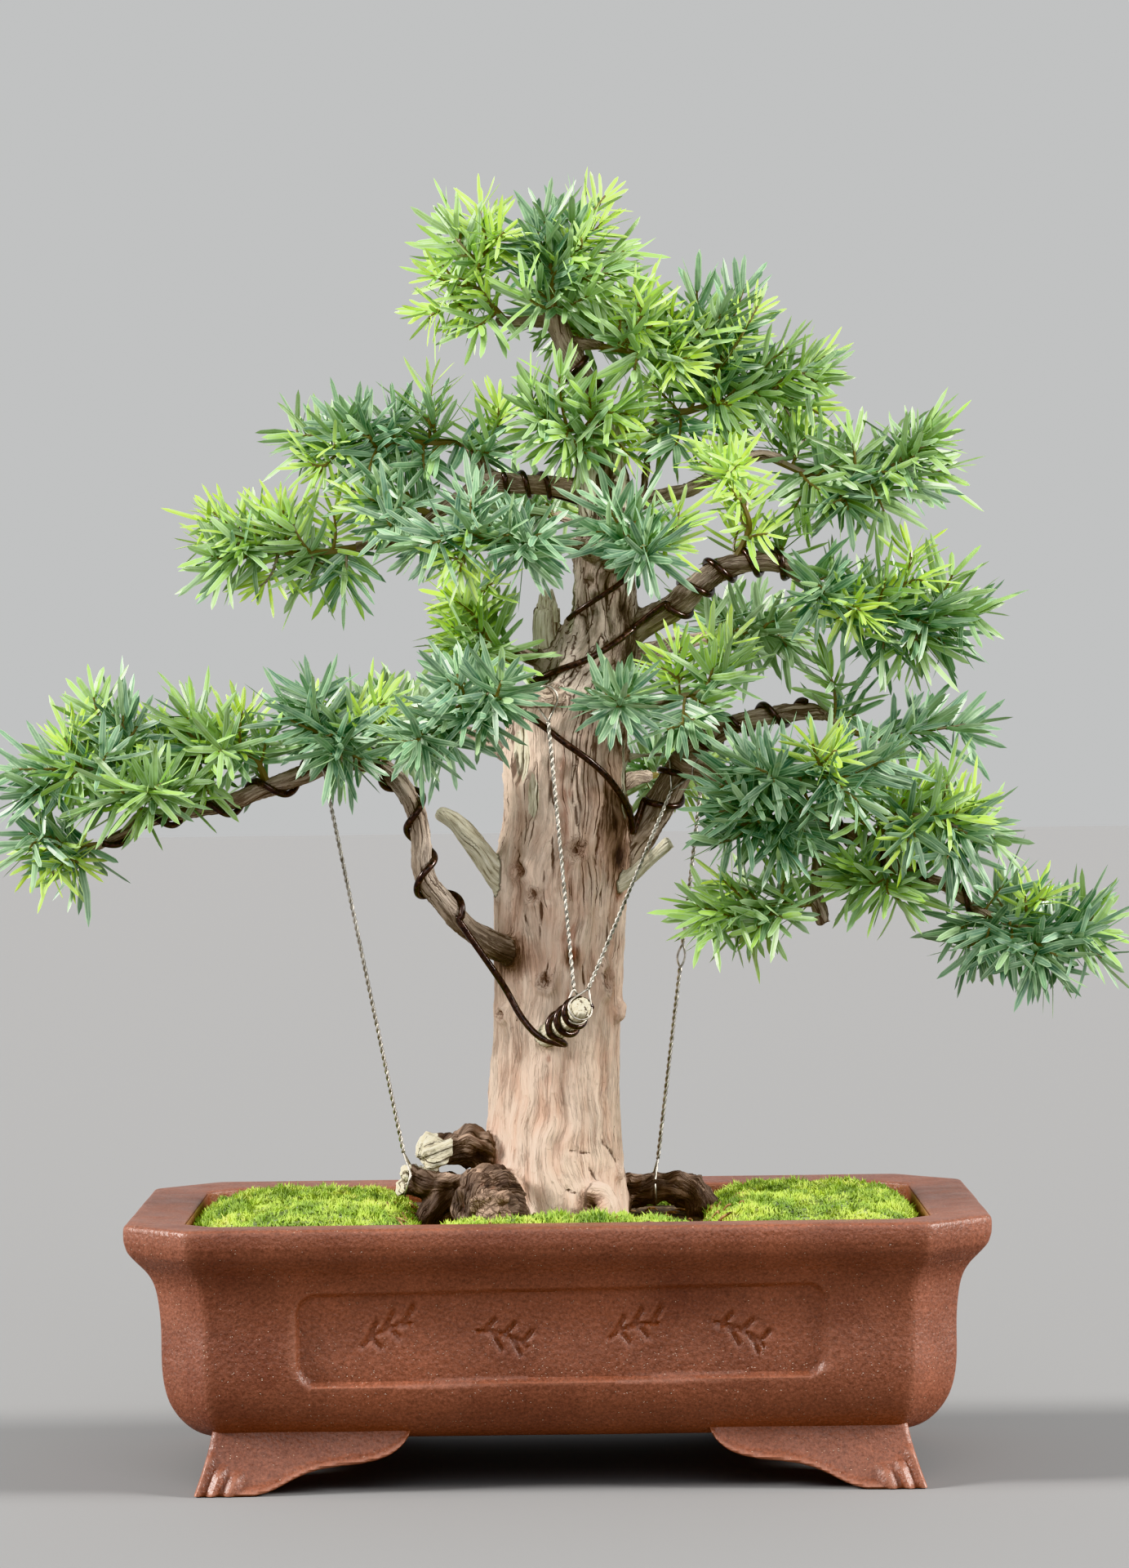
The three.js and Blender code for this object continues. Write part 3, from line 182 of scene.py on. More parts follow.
# Training wires: radius, then runs. "trunk" rows are height and turn from the front in degrees, "free"
# rows are places in the air, and a coil winds round a limb from one share of its length to another.
WIRE_RADIUS = 1.25
COIL_STEPS = 26  # points on each turn of a coil
THIN_WIRE_RADIUS = 1.0
WIRES = {
    "wire_low_left": (WIRE_RADIUS, [
        {"coil": "front_stub", "start": 0.92, "end": 0.44, "turns": 2.6, "first": 270},
        {"free": [(1, 156, -30), (-8, 158.5, -27), (-15, 166, -25.5), (-20.5, 176, -25), (-25.5, 184, -29)]},
        {"coil": "low_left", "start": 0.16, "end": 0.97, "turns": 8, "first": 180}]),
    "wire_low_right": (WIRE_RADIUS, [
        {"trunk": [(284, -72), (278, -32), (268, 4), (258, 34), (246, 62), (236, 82)]},
        {"coil": "low_right", "start": 0.3, "end": 0.92, "turns": 5, "first": 120}]),
    "wire_mid_right": (WIRE_RADIUS, [
        {"trunk": [(292, -66), (296, -40), (301, -5), (308, 28), (313, 54)]},
        {"coil": "mid_right", "start": 0.3, "end": 0.94, "turns": 4.5, "first": 150}]),
    "wire_upper_left": (THIN_WIRE_RADIUS, [
        {"trunk": [
            (316, -58), (321, -24), (327, 14), (333, 52), (339, 92), (346, 132), (352, 172), (359, 218)]},
        {"coil": "upper_left", "start": 0.16, "end": 0.36, "turns": 2.5, "first": 40}]),
    "wire_leader": (WIRE_RADIUS, [{"coil": "leader", "start": 0.22, "end": 0.7, "turns": 3, "first": 240}]),
    "wire_droop": (THIN_WIRE_RADIUS, [
        {"coil": "low_right_droop", "start": 0.5, "end": 0.96, "turns": 3.5, "first": 90}]),
}

# Guy wires: the branch ring (branch, share along it) that each pulls, the ring that it is tied to, and
# in one of them the share of the way down at which its strands part in an eye
GUYS = {
    "guy_left": (("low_left", 0.57), ("root_knee", 0.93)),
    "guy_right": (("low_right_droop", 0.09), ("root_right", 0.4), 0.44),
    "guy_stub_left": (("front_mid", 0.42), ("front_stub", 0.83)),
    "guy_stub_right": (("low_right", 0.46), ("front_stub", 0.93)),
}
STRAND_RADIUS = 0.42
TWIST_PITCH = 5.2
EYE_HALF = 3.0
# Strands part at a share of a ring's radius and a little more, measured from its middle
FORK_SHARE, FORK_MORE = 1.6, 3.0
LOOP_TURN = (55, 305)  # degrees round a ring, from one strand to the other
LOOP_SLACK = 0.5

# Sprays: leafy stem, shoots as start and end, more shoots that have no side shoots and are in no solid,
# and one letter for the stem and each shoot: d is last year's dark leaf, g this year's hardened leaf,
# l new lime leaf
SPRAYS = {
    "apex_crown": ([(0, 428, 0), (0, 440, -1), (-1, 452, -2)],
        [(-4, 444, 0, -8, 458, -6), (2, 446, 0, 19, 465, 3), (4, 440, -4, 22, 446, -10)],
        [(4, 448, 0, 20, 475, 3), (-2, 450, -2, -3, 468, -6), (3, 450, -2, 8, 469, -2),
        (0, 432, -2, -12, 441, -14), (2, 432, -2, 14, 438, -14), (4, 444, 2, 27, 454, 4),
        (0, 434, 0, 4, 444, 14)], "ddlglddgggd"),
    "apex_left": ([(-18, 428, 3), (-26, 439, 4), (-28, 452, 3), (-27, 461, 3)],
        [(-26, 440, 4, -46, 446, 0), (-24, 436, 4, -50, 432, 8), (-28, 452, 3, -39, 464, 2),
        (-28, 450, 3, -18, 462, -4)], [(-27, 456, 3, -27, 473, 2), (-22, 432, 3, -30, 426, -6)], "lllgllg"),
    "apex_right": ([(15, 419, -2), (33, 416, -4), (46, 415, -4)],
        [(28, 420, -6, 36, 436, -12), (40, 415, -6, 51, 414, -16)],
        [(24, 418, -3, 26, 436, -4), (40, 415, -4, 44, 432, -6), (33, 416, -4, 30, 408, -16),
        (44, 415, -4, 58, 425, -6), (36, 416, -4, 38, 426, 8)], "gllglggg"),
    "shoulder": ([(47, 393, 4), (66, 398, 4), (84, 402, 4)],
        [(60, 398, 2, 63, 427, 0), (84, 402, 4, 98, 408, 0), (60, 396, 2, 66, 385, -4)],
        [(60, 398, 2, 54, 439, -2), (62, 402, 2, 72, 440, 0), (64, 404, 2, 77, 433, -4),
        (58, 396, 3, 47, 423, -6), (72, 400, 4, 88, 417, -2), (80, 402, 4, 102, 414, 2),
        (84, 402, 4, 100, 392, -4), (78, 401, 4, 90, 388, 0), (70, 399, 4, 74, 414, 12),
        (47, 393, 4, 37, 404, -2), (47, 393, 4, 36, 385, -6), (47, 393, 4, 45, 380, -8)],
        "gdglddlggllgglgd"),
    "rosette_right": ([(66, 336, -9), (71, 345, -12), (72.5, 353, -17), (65, 370, -27)],
        [(65, 370, -26, 65, 371, -39), (66, 366, -24, 54, 377, -24)], [], "lll"),
    "upper_right": ([(82, 375.5, -2), (104, 366, -2), (118, 368, -2), (140, 380, -2)],
        [(104, 366, -4, 110, 356, -12), (90, 373, 0, 92, 384, 6), (130, 374, -2, 141, 382, -2),
        (110, 367, 0, 114, 374, 14)],
        [(98, 368, -2, 90, 356, -8), (118, 368, -2, 124, 354, -8), (126, 372, -2, 137, 363, -8),
        (112, 367, -2, 112, 382, -6), (134, 376, -2, 146, 370, -2)], "gdgggggdgg"),
    "upper_left_top": ([(-32, 383, -4), (-55, 383, -2), (-72, 381, 0), (-86, 381, 2)],
        [(-84, 381, 2, -95, 386, 4), (-66, 382, 0, -70, 391, -6), (-44, 384, -2, -44, 396, -4),
        (-78, 381, 0, -89, 372, -8)],
        [(-60, 382, -1, -60, 395, -6), (-50, 383, -2, -49, 372, -14), (-78, 381, 1, -80, 392, -4),
        (-38, 383, -3, -25, 379, -16), (-46, 384, -2, -46, 405, -4), (-66, 381, 0, -70, 371, -12)],
        "dgddlddddld"),
    "upper_left_inner": ([(-28, 375, -7), (-24, 385, -8)], [(-24, 384, -8, -21, 396, -12)], [], "gl"),
    "upper_left_under": ([(-46, 356, -9), (-58, 360, -13), (-66, 360, -15)],
        [(-62, 360, -14, -75, 362, -16), (-58, 360, -14, -64, 352, -22)], [], "dld"),
    "left_tip": ([(-72, 344.5, -7), (-92, 342, -6), (-108, 343, -5), (-122, 345, -4)],
        [(-112, 344, -4, -129, 358, -2), (-100, 343, -6, -107, 358, -10), (-112, 343, -6, -128, 334, -10),
        (-92, 342, -6, -96, 332, -2)],
        [(-118, 344, -4, -134, 346, -4), (-84, 343, -6, -84, 358, -10), (-92, 342, -6, -99, 353, -12),
        (-104, 343, -5, -112, 330, -8), (-80, 343, -6, -80, 330, -8)], "gllggllgld"),
    "centre_top": ([(18, 386, 3), (8, 387, -10), (-2, 386, -15)],
        [(0, 387, -14, -4, 394, -18), (10, 387, -8, 20, 396, -14)],
        [(0, 387, -14, -9, 404, -18), (5, 387, -10, 2, 408, -16), (16, 386, 0, 28, 393, -10),
        (4, 387, -12, 12, 378, -20), (18, 386, 3, 31, 388, -6), (18, 386, 3, 28, 377, -10)], "gggggldll"),
    "front_upper": ([(-4, 344.6, -52), (-24, 347, -66), (-38, 346, -68)],
        [(-10, 345, -62, -8, 345, -77), (-28, 347, -66, -32, 358, -72), (-38, 346, -68, -52, 343, -72),
        (-34, 346, -68, -36, 334, -74)], [], "ddddl"),
    "front_upper_right": ([(27, 341, -34), (32, 342, -54)],
        [(32, 342, -52, 34, 338, -66), (30, 342, -44, 47, 350, -46)],
        [(30, 342, -44, 15, 349, -50), (30, 342, -44, 19, 360, -48), (30, 342, -44, 32, 358, -50)],
        "ddlddd"),
    "mid_left": ([(-13, 303, -5), (-26, 309, -8), (-29, 318, -8)],
        [(-29, 316, -8, -28, 328, -10), (-26, 310, -8, -40, 314, -12), (-24, 308, -8, -35, 303, -18)],
        [(-27, 312, -8, -42, 326, -12), (-24, 308, -8, -17, 299, -14)], "gllglg"),
    "low_left_inner": ([(-72, 263, -28), (-80, 273, -32), (-92, 274, -32)],
        [(-76, 272, -31, -66, 287, -34), (-90, 274, -32, -93, 287, -34), (-84, 273, -32, -86, 266, -48)],
        [(-84, 273, -32, -74, 264, -44), (-90, 274, -32, -104, 281, -36), (-76, 270, -30, -64, 280, -40)],
        "dlddddl"),
    "low_left_mid": ([(-109, 254, -24), (-116, 266, -27), (-132, 266, -28), (-144, 266, -28)],
        [(-118, 266, -27, -119, 283, -30), (-134, 266, -28, -140, 281, -34),
        (-142, 266, -28, -152, 275, -26)],
        [(-126, 266, -28, -124, 279, -30), (-136, 266, -28, -132, 252, -34),
        (-124, 266, -28, -128, 268, -46)], "glgllgg"),
    "low_left_outer": ([(-154, 242, -25), (-166, 256, -28), (-178, 262, -30), (-190, 256, -32)],
        [(-166, 258, -28, -164, 282, -30), (-178, 262, -30, -186, 274, -34),
        (-188, 257, -32, -200, 254, -36)],
        [(-182, 260, -31, -206, 262, -34), (-168, 258, -28, -175, 289, -30),
        (-172, 260, -29, -170, 268, -46)], "gdlddgd"),
    "low_left_under": ([(-136, 246, -24), (-148, 251, -36), (-160, 250, -42)],
        [(-158, 250, -41, -176, 247, -46), (-152, 250, -38, -150, 256, -54)], [], "ggg"),
    "low_left_tip": ([(-174, 233, -26), (-184, 233, -27), (-192, 237, -28)],
        [(-190, 236, -28, -200, 238, -32), (-187, 234, -28, -188, 226, -36)],
        [(-186, 234, -27, -198, 226, -30), (-186, 234, -27, -191, 221, -34)], "ddlll"),
    "front_mid": ([(-16, 286, -50), (-36, 284, -61), (-52, 273, -61)],
        [(-22, 286, -58, -21, 286, -75), (-36, 284, -60, -38, 296, -64), (-51, 274, -61, -53, 271, -75)],
        [(-30, 285, -58, -30, 274, -66), (-44, 279, -61, -40, 268, -62)], "dddddd"),
    "front_mid_right": ([(19.5, 284, -40), (22, 284, -60)], [(22, 284, -58, 22, 283, -79)], [], "dd"),
    "mid_right_inner": ([(38, 285.5, -11), (56, 289, -14), (64, 298, -14)],
        [(46, 287, -12, 44, 304, -16), (62, 296, -14, 66, 308, -16), (48, 287, -12, 47, 275, -22)], [],
        "glld"),
    "mid_right": ([(89, 334, -9), (108, 320, -8), (124, 315, -7), (142, 316, -6)],
        [(100, 325, -9, 98, 322, -26), (112, 318, -8, 114, 318, -28), (128, 316, -7, 134, 336, -10),
        (140, 316, -6, 154, 318, -6), (134, 315, -7, 136, 301, -12), (116, 317, -6, 118, 322, 10)],
        [(130, 315, -6, 147, 304, -8), (136, 316, -6, 149, 331, -8), (124, 315, -7, 122, 300, -12),
        (140, 316, -6, 152, 309, -4), (106, 321, -8, 104, 334, -14), (120, 316, -7, 124, 330, -16)],
        "ddllgggdgddgg"),
    "mid_right_bud": ([(83, 336, -9), (85, 342, -8)], [(85, 341, -8, 87, 347, -9)], [], "gg"),
    "low_right_twig": ([(99, 279.5, -6), (112, 272, -6), (124, 271, -6), (140, 273, -6)],
        [(124, 271, -6, 155, 275, -6), (104, 277, -6, 100, 296, -8)], [], "ddg"),
    "low_right_top": ([(71, 252, -22), (82, 257, -37), (98, 257, -44), (110, 255, -46)],
        [(82, 256, -36, 81, 254, -56), (98, 257, -44, 104, 264, -50), (110, 255, -46, 122, 261, -46)],
        [(90, 257, -40, 96, 242, -54), (78, 255, -32, 66, 263, -38), (100, 257, -44, 113, 246, -56),
        (84, 257, -38, 72, 246, -50), (104, 256, -45, 96, 268, -44), (76, 254, -30, 60, 252, -36)],
        "ddlddddddd"),
    "low_right_outer": ([(117, 229, -28), (126, 240, -33), (140, 240, -36), (150, 236, -37)],
        [(118, 236, -30, 138, 250, -30), (140, 240, -36, 151, 243, -44), (148, 236, -37, 161, 237, -34),
        (144, 238, -36, 152, 222, -38)],
        [(126, 240, -33, 118, 252, -34), (134, 240, -35, 128, 228, -44), (121, 236, -30, 111, 241, -40),
        (148, 236, -37, 157, 246, -36), (140, 240, -36, 147, 255, -32), (132, 240, -34, 134, 232, -50)],
        "gllgdllglgd"),
    "low_right_inner": ([(86, 244, -27), (78, 238, -37), (68, 238, -42)],
        [(74, 238, -40, 60, 243, -44), (80, 239, -36, 84, 228, -44)],
        [(70, 238, -42, 58, 231, -44), (76, 238, -38, 66, 250, -44), (82, 242, -32, 95, 232, -42)],
        "dddddd"),
    "low_right_hang": ([(97, 208, -31), (80, 207.5, -32), (64, 208, -33)],
        [(76, 208, -32, 51, 208, -34), (80, 208, -32, 74, 199, -38)],
        [(84, 207.5, -32, 86, 219, -36), (70, 208, -33, 60, 218, -34), (66, 208, -33, 54, 198, -36)],
        "gggglg"),
    "low_right_under": ([(127, 221, -27), (120, 215, -31), (112, 217, -33)],
        [(118, 215, -31, 107, 219, -34), (122, 216, -30, 129, 207, -34)], [], "ggg"),
    "low_right_tip": ([(157, 205, -24), (172, 199, -24), (184, 196, -24), (196, 196, -24)],
        [(172, 199, -24, 181, 212, -26), (178, 197, -24, 180, 186, -36), (164, 202, -24, 156, 188, -26),
        (190, 196, -24, 202, 196, -26), (168, 200, -24, 170, 204, -8)],
        [(184, 196, -24, 200, 206, -24), (176, 198, -24, 187, 180, -30), (162, 203, -24, 148, 196, -28),
        (190, 196, -24, 204, 186, -28), (170, 200, -24, 168, 188, -38)], "dlddgdddddd"),
    "back_upper": ([(3, 354, 43), (-10, 357, 59), (-18, 358, 70)],
        [(-14, 358, 65, -24, 364, 77), (-6, 356, 55, -26, 352, 62), (-6, 356, 55, 10, 364, 67)], [],
        "dgdl"),
    "back_right": ([(54, 308, 40), (68, 311, 55), (78, 311, 64)],
        [(76, 311, 62, 92, 316, 73), (68, 311, 55, 60, 316, 70), (66, 311, 53, 86, 308, 52)], [], "dlgd"),
    "back_left": ([(-44, 275, 45), (-60, 278, 58), (-76, 278, 65)],
        [(-74, 278, 64, -90, 282, 73), (-62, 278, 59, -56, 284, 74), (-58, 278, 56, -78, 272, 50)], [],
        "dlgd"),
    "back_low": ([(32, 256, 50), (40, 258, 64), (44, 259, 73)],
        [(43, 259, 71, 50, 263, 81), (40, 258, 62, 22, 262, 70), (39, 258, 61, 58, 256, 62)], [], "dgdl"),
    "back_apex": ([(9, 418.5, 13), (12, 424, 24), (12, 430, 31)],
        [(12, 429, 30, 10, 440, 40), (11, 423, 21, 26, 428, 30), (11, 423, 21, -4, 430, 30)], [], "gldg"),
}
SPARSE = {"low_right_twig": 2.4, "mid_right_bud": 3.0}  # side shoots stand further apart here
TINT = {"d": 0.12, "g": 0.5, "l": 0.9}  # place of each age of leaf on the colour scale

# Moss cushions: centre x, y, half sizes, height
MOSS = {
    "moss_left": (-95, 0, 43, 66, 9),
    "moss_right": (92, 0, 40, 66, 9.5),
    "moss_front": (0, -49, 50.5, 17, 5),
    "moss_back": (-1, 54, 50, 13, 6),
}
MOSS_RINGS, MOSS_SIDES = 26, 120
LITTER_COUNT = 190


# Numbers, paths and surfaces


def at(rows):
    """Places from rows of x, height and depth: each slides along the line of sight to its own depth."""
    rows = np.asarray(rows, float)
    x, z, y = rows[..., 0], rows[..., 1], rows[..., 2]
    k = 1 - y / EYE[1]
    return np.stack([EYE[0] + (x - EYE[0]) * k, y, EYE[2] + (z - EYE[2]) * k + LIFT], -1)


def unit(vectors):
    """Each vector divided by its length."""
    return vectors / np.maximum(np.linalg.norm(vectors, axis=-1, keepdims=True), 1e-9)


SLOPES = unit(np.random.default_rng(5).normal(size=(256, 3)))


def noise(points, seed=0):
    """Smooth random values from about -1 to 1: every corner of a unit lattice has a slope picked by a hash
    of its place, and the heights of the eight slopes around a point are blended."""
    cell = np.floor(points).astype(np.int64)
    part = points - cell
    blend = part**3 * (part * (part * 6 - 15) + 10)
    total = np.zeros(len(points))
    for corner in np.ndindex(2, 2, 2):
        key = (cell + np.array(corner)) @ np.array([73856093, 19349663, 83492791]) + seed * 7919
        key = ((key ^ (key >> 13)) * 1274126177) & 0xFFFFFFFF
        slope = SLOPES[(key ^ (key >> 15)) & 255]
        height = ((part - corner) * slope).sum(1)
        total += height * np.prod(np.where(corner, blend, 1 - blend), axis=1)
    return 1.6 * total


def rough(points, octaves=3, seed=0):
    """Layers of noise, each at twice the frequency and half the height of the last."""
    return sum(noise(points * 2.0**k, seed + k) * 0.5**k for k in range(octaves))


def smooth_rows(rows, steps):
    """A smooth curve through rows of numbers, with `steps` points from each row to the next: between two
    rows it is the cubic that leaves and arrives along the line through their neighbours."""
    rows = np.asarray(rows, float)
    padded = np.vstack([2 * rows[0] - rows[1], rows, 2 * rows[-1] - rows[-2]])
    t = np.linspace(0, 1, steps, endpoint=False)[None, :, None]
    a, b, c, d = (padded[k : len(padded) - 3 + k][:, None, :] for k in range(4))
    curve = 0.5 * (2 * b + (c - a) * t + (2 * a - 5 * b + 4 * c - d) * t**2 + (3 * b - a - 3 * c + d) * t**3)
    return np.vstack([curve.reshape(-1, rows.shape[1]), rows[-1:]])


def walked(path):
    """The distance along a path at each of its points, measured on its first three columns."""
    return np.concatenate([[0], np.cumsum(np.linalg.norm(np.diff(path[:, :3], axis=0), axis=1))])


def even_rows(rows, spacing):
    """The same path with points a fixed distance apart, measured on its first three columns."""
    distance = walked(rows)
    count = max(2, int(round(distance[-1] / spacing)) + 1)
    wanted = np.linspace(0, distance[-1], count)
    return np.stack([np.interp(wanted, distance, column) for column in rows.T], 1)


def frames(path):
    """Way, side and third direction at each point of a path; the side turns no more than the path does."""
    way = unit(np.gradient(path, axis=0))
    level = np.array([0.0, 1.0, 0.0]) if abs(way[0, 0]) > 0.8 else np.array([1.0, 0.0, 0.0])
    side = np.zeros_like(way)
    side[0] = unit(np.cross(level, way[0]))
    for i in range(1, len(path)):
        side[i] = unit(side[i - 1] - way[i] * (side[i - 1] @ way[i]))
    return way, side, np.cross(way, side)


def tube(path, radii, sides):
    """A round profile carried along a path: centre + radius x (cos a x side + sin a x third direction).
    `radii` holds one radius a point, or one a point and corner."""
    _, side, third = frames(path)
    angle = 2 * np.pi * np.arange(sides) / sides
    radii = np.asarray(radii, float)
    if radii.ndim < 2:
        radii = np.broadcast_to(np.reshape(radii, (-1, 1)), (len(path), sides))
    ring = side[:, None] * np.cos(angle)[None, :, None] + third[:, None] * np.sin(angle)[None, :, None]
    points = path[:, None] + radii[..., None] * ring
    return points.reshape(-1, 3), ring_faces(len(path), sides)


def ring_faces(rings, sides):
    """Four-sided faces between neighbouring rings, and one flat face over each end."""
    row = np.arange(rings - 1)[:, None] * sides
    k = np.arange(sides)[None, :]
    after = (k + 1) % sides
    quads = np.stack([row + k, row + after, row + after + sides, row + k + sides], -1).reshape(-1, 4)
    return [quads, np.arange(sides)[None, ::-1], (rings - 1) * sides + np.arange(sides)[None]]


def joined(parts):
    """Several (points, faces) surfaces as one, with the corner numbers moved on."""
    points, faces, first = [], [], 0
    for some, lists in parts:
        points.append(some)
        faces += [f + first for f in lists]
        first += len(some)
    return np.vstack(points), faces


def fill_mesh(name, points, faces, smooth=True, **values):
    """A mesh object from points in millimetres and arrays of faces; `values` are stored on the points."""
    mesh = bpy.data.meshes.new(name)
    corners = np.concatenate([f.ravel() for f in faces]).astype(np.int32)
    sizes = np.concatenate([np.full(len(f), f.shape[1]) for f in faces])
    mesh.vertices.add(len(points))
    mesh.vertices.foreach_set("co", (points * METRE).astype(np.float32).ravel())
    mesh.loops.add(len(corners))
    mesh.loops.foreach_set("vertex_index", corners)
    mesh.polygons.add(len(sizes))
    mesh.polygons.foreach_set("loop_start", (np.cumsum(sizes) - sizes).astype(np.int32))
    mesh.update(calc_edges=True)
    store_values(mesh, values)
    if smooth:
        mesh.shade_smooth()
    else:
        mesh.shade_flat()
    piece = bpy.data.objects.new(name, mesh)
    bpy.context.scene.collection.objects.link(piece)
    return piece


def store_values(mesh, values):
    """Stores arrays of numbers or of directions on a mesh's points, for its material to read."""
    for name, array in values.items():
        array = np.asarray(array, np.float32)
        kind, field = ("FLOAT", "value") if array.ndim == 1 else ("FLOAT_VECTOR", "vector")
        mesh.attributes.new(name, kind, "POINT").data.foreach_set(field, array.ravel())


def set_points(mesh, points):
    """Moves a mesh's points to places in millimetres."""
    mesh.vertices.foreach_set("co", (points * METRE).astype(np.float32).ravel())
    mesh.update()


def applied(piece):
    """Puts what a piece's modifiers make into its mesh."""
    bpy.context.view_layer.update()
    made = bpy.data.meshes.new_from_object(piece.evaluated_get(bpy.context.evaluated_depsgraph_get()))
    piece.modifiers.clear()
    old = piece.data
    piece.data = made
    bpy.data.meshes.remove(old)
    return piece


def points_of(mesh, field="co"):
    """A mesh's points, or their outward directions, as rows."""
    source = mesh.vertices if field == "co" else mesh.vertex_normals
    out = np.empty(3 * len(mesh.vertices), np.float32)
    source.foreach_get("co" if field == "co" else "vector", out)
    return out.reshape(-1, 3).astype(float)


def place(piece, finish, slot, *nodes):
    """Gives a piece its finish in a material slot, its body and the solids that it stands for. The slot
    argument is not used.
    """
    piece.data.materials.clear()
    piece.data.materials.append(finish)
    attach(piece, BODY)
    if nodes:
        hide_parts(*nodes)
    return piece


# Finishes

# Settings of the nodes that mix two colours or reckon with two numbers
BLEND = {"data_type": "RGBA", "blend_type": "MIX"}
DARKEN = {"data_type": "RGBA", "blend_type": "MULTIPLY"}
SHIFT = {"data_type": "RGBA", "blend_type": "ADD"}
PRODUCT = {"operation": "MULTIPLY"}
LARGER = {"operation": "MAXIMUM"}
LESS = {"operation": "SUBTRACT"}


def linear(code, alpha=1.0):
    """A hex colour as it is seen, turned to linear light."""
    parts = [int(code[i : i + 2], 16) / 255 for i in (1, 3, 5)]
    return (*(c / 12.92 if c <= 0.04045 else ((c + 0.055) / 1.055) ** 2.4 for c in parts), alpha)


def join(node, inputs):
    """Sets inputs of a node, by name or number, to a value, an output, or the first output of a node."""
    for key, value in inputs.items():
        socket = next(s for i, s in enumerate(node.inputs) if s.enabled and key in (i, s.name))
        if isinstance(value, bpy.types.Node):
            value = next(s for s in value.outputs if s.enabled)
        if isinstance(value, bpy.types.NodeSocket):
            node.id_data.links.new(value, socket)
        else:
            socket.default_value = value


def add_node(tree, kind, inputs=None, stops=None, **settings):
    """Adds a node with its settings, its colour stops and its inputs."""
    node = tree.nodes.new("ShaderNode" + kind)
    for key, value in settings.items():
        setattr(node, key, value)
    if stops:
        scale = node.color_ramp.elements
        while len(scale) < len(stops):
            scale.new(1.0)
        for element, (position, code) in zip(scale, stops):
            element.position = position
            element.color = linear(code) if isinstance(code, str) else (code, code, code, 1)
    join(node, inputs or {})
    return node


def new_finish(name, **values):
    """A material with a plain shader whose sockets are set by name, and the function that adds its nodes."""
    finish = bpy.data.materials.new(name)
    finish.use_nodes = True
    finished(finish, {key.replace("_", " "): value for key, value in values.items()})
    return finish, partial(add_node, finish.node_tree)


def finished(finish, inputs):
    """Joins a finish's nodes or values to the inputs of its shader."""
    join(finish.node_tree.nodes["Principled BSDF"], inputs)
    return finish


def stoneware(colours):
    """Unglazed red-brown stoneware, pressed and scraped: a dry satin skin like orange peel, faintly darker
    and lighter in clouds, with pale grit and fine pits, so that light breaks up on it."""
    finish, add = new_finish("unglazed_stoneware", IOR=1.5, Specular_IOR_Level=0.5)
    where = add("TexCoord").outputs["Object"]
    cloud = add("TexNoise", {"Vector": where, "Scale": 22, "Detail": 5, "Roughness": 0.65})
    body = add("ValToRGB", {"Fac": cloud}, [
        (0.28, colours.clay_dark), (0.5, colours.clay), (0.75, colours.clay_light)])
    # Grit grains of about 0.4 mm, of which a few are pale enough to show
    grit = add("TexVoronoi", {"Vector": where, "Scale": 950})
    pale = add("ValToRGB", {"Fac": grit.outputs["Color"]}, [(0.76, 0.0), (0.86, 1.0)])
    near = add("ValToRGB", {"Fac": grit}, [(0.15, 1.0), (0.3, 0.0)])
    speck = add("Math", {0: pale, 1: near}, **PRODUCT)
    soft = add("Math", {0: speck, 1: 0.6}, **PRODUCT)
    # Sandy mottling about a millimetre across
    sand = add("TexNoise", {"Vector": where, "Scale": 900, "Detail": 4, "Roughness": 0.7})
    sand = add("MapRange", {0: sand, 1: 0.3, 2: 0.7, 3: 0.62, 4: 1.45})
    body = add("Mix", {"Factor": 1.0, "A": body, "B": sand}, **DARKEN)
    body = add("Mix", {"Factor": soft, "A": body, "B": linear("#d8b8a2")}, **BLEND)
    edge = add("NewGeometry").outputs["Pointiness"]
    lightened = add("ValToRGB", {"Fac": edge}, [(0.51, 0.0), (0.6, 0.8)])
    body = add("Mix", {"Factor": lightened, "A": body, "B": linear(colours.clay_edge)}, **BLEND)
    gloss = add("TexNoise", {"Vector": where, "Scale": 70, "Detail": 3})
    shine = add("MapRange", {0: gloss, 1: 0.3, 2: 0.7, 3: 0.33, 4: 0.5})
    # Orange peel with dimples of 1.6 mm under a finer tooth
    peel = add("TexNoise", {"Vector": where, "Scale": 600, "Detail": 3, "Roughness": 0.55})
    pits = add("Math", {0: peel, 1: speck}, **LESS)
    bump = add("Bump", {"Height": pits, "Strength": 0.75, "Distance": 0.0006})
    return finished(finish, {"Base Color": body, "Roughness": shine, "Normal": bump})


def damp_soil(colours):
    """Damp growing medium: dark, crumbly and dull, with some paler grit."""
    finish, add = new_finish("damp_soil", Roughness=0.95)
    where = add("TexCoord").outputs["Object"]
    crumb = add("TexVoronoi", {"Vector": where, "Scale": 420})
    tone = add("TexNoise", {"Vector": where, "Scale": 160, "Detail": 5})
    share = add("Math", {0: tone, 1: crumb}, **PRODUCT)
    earth = add("ValToRGB", {"Fac": share}, [(0.05, "#17110c"), (0.25, colours.soil), (0.5, "#6e5a44")])
    bump = add("Bump", {"Height": crumb, "Strength": 0.9, "Distance": 0.0015})
    return finished(finish, {"Base Color": earth, "Normal": bump})


def dry_litter():
    """Dead needles and bark chips: dry, dull and brown, some nearly straw."""
    finish, add = new_finish("dry_litter", Roughness=0.85)
    where = add("TexCoord").outputs["Object"]
    tone = add("TexNoise", {"Vector": where, "Scale": 260, "Detail": 3})
    brown = add("ValToRGB", {"Fac": tone}, [(0.35, "#4a3526"), (0.5, "#8a6644"), (0.68, "#b99a6c")])
    return finished(finish, {"Base Color": brown})


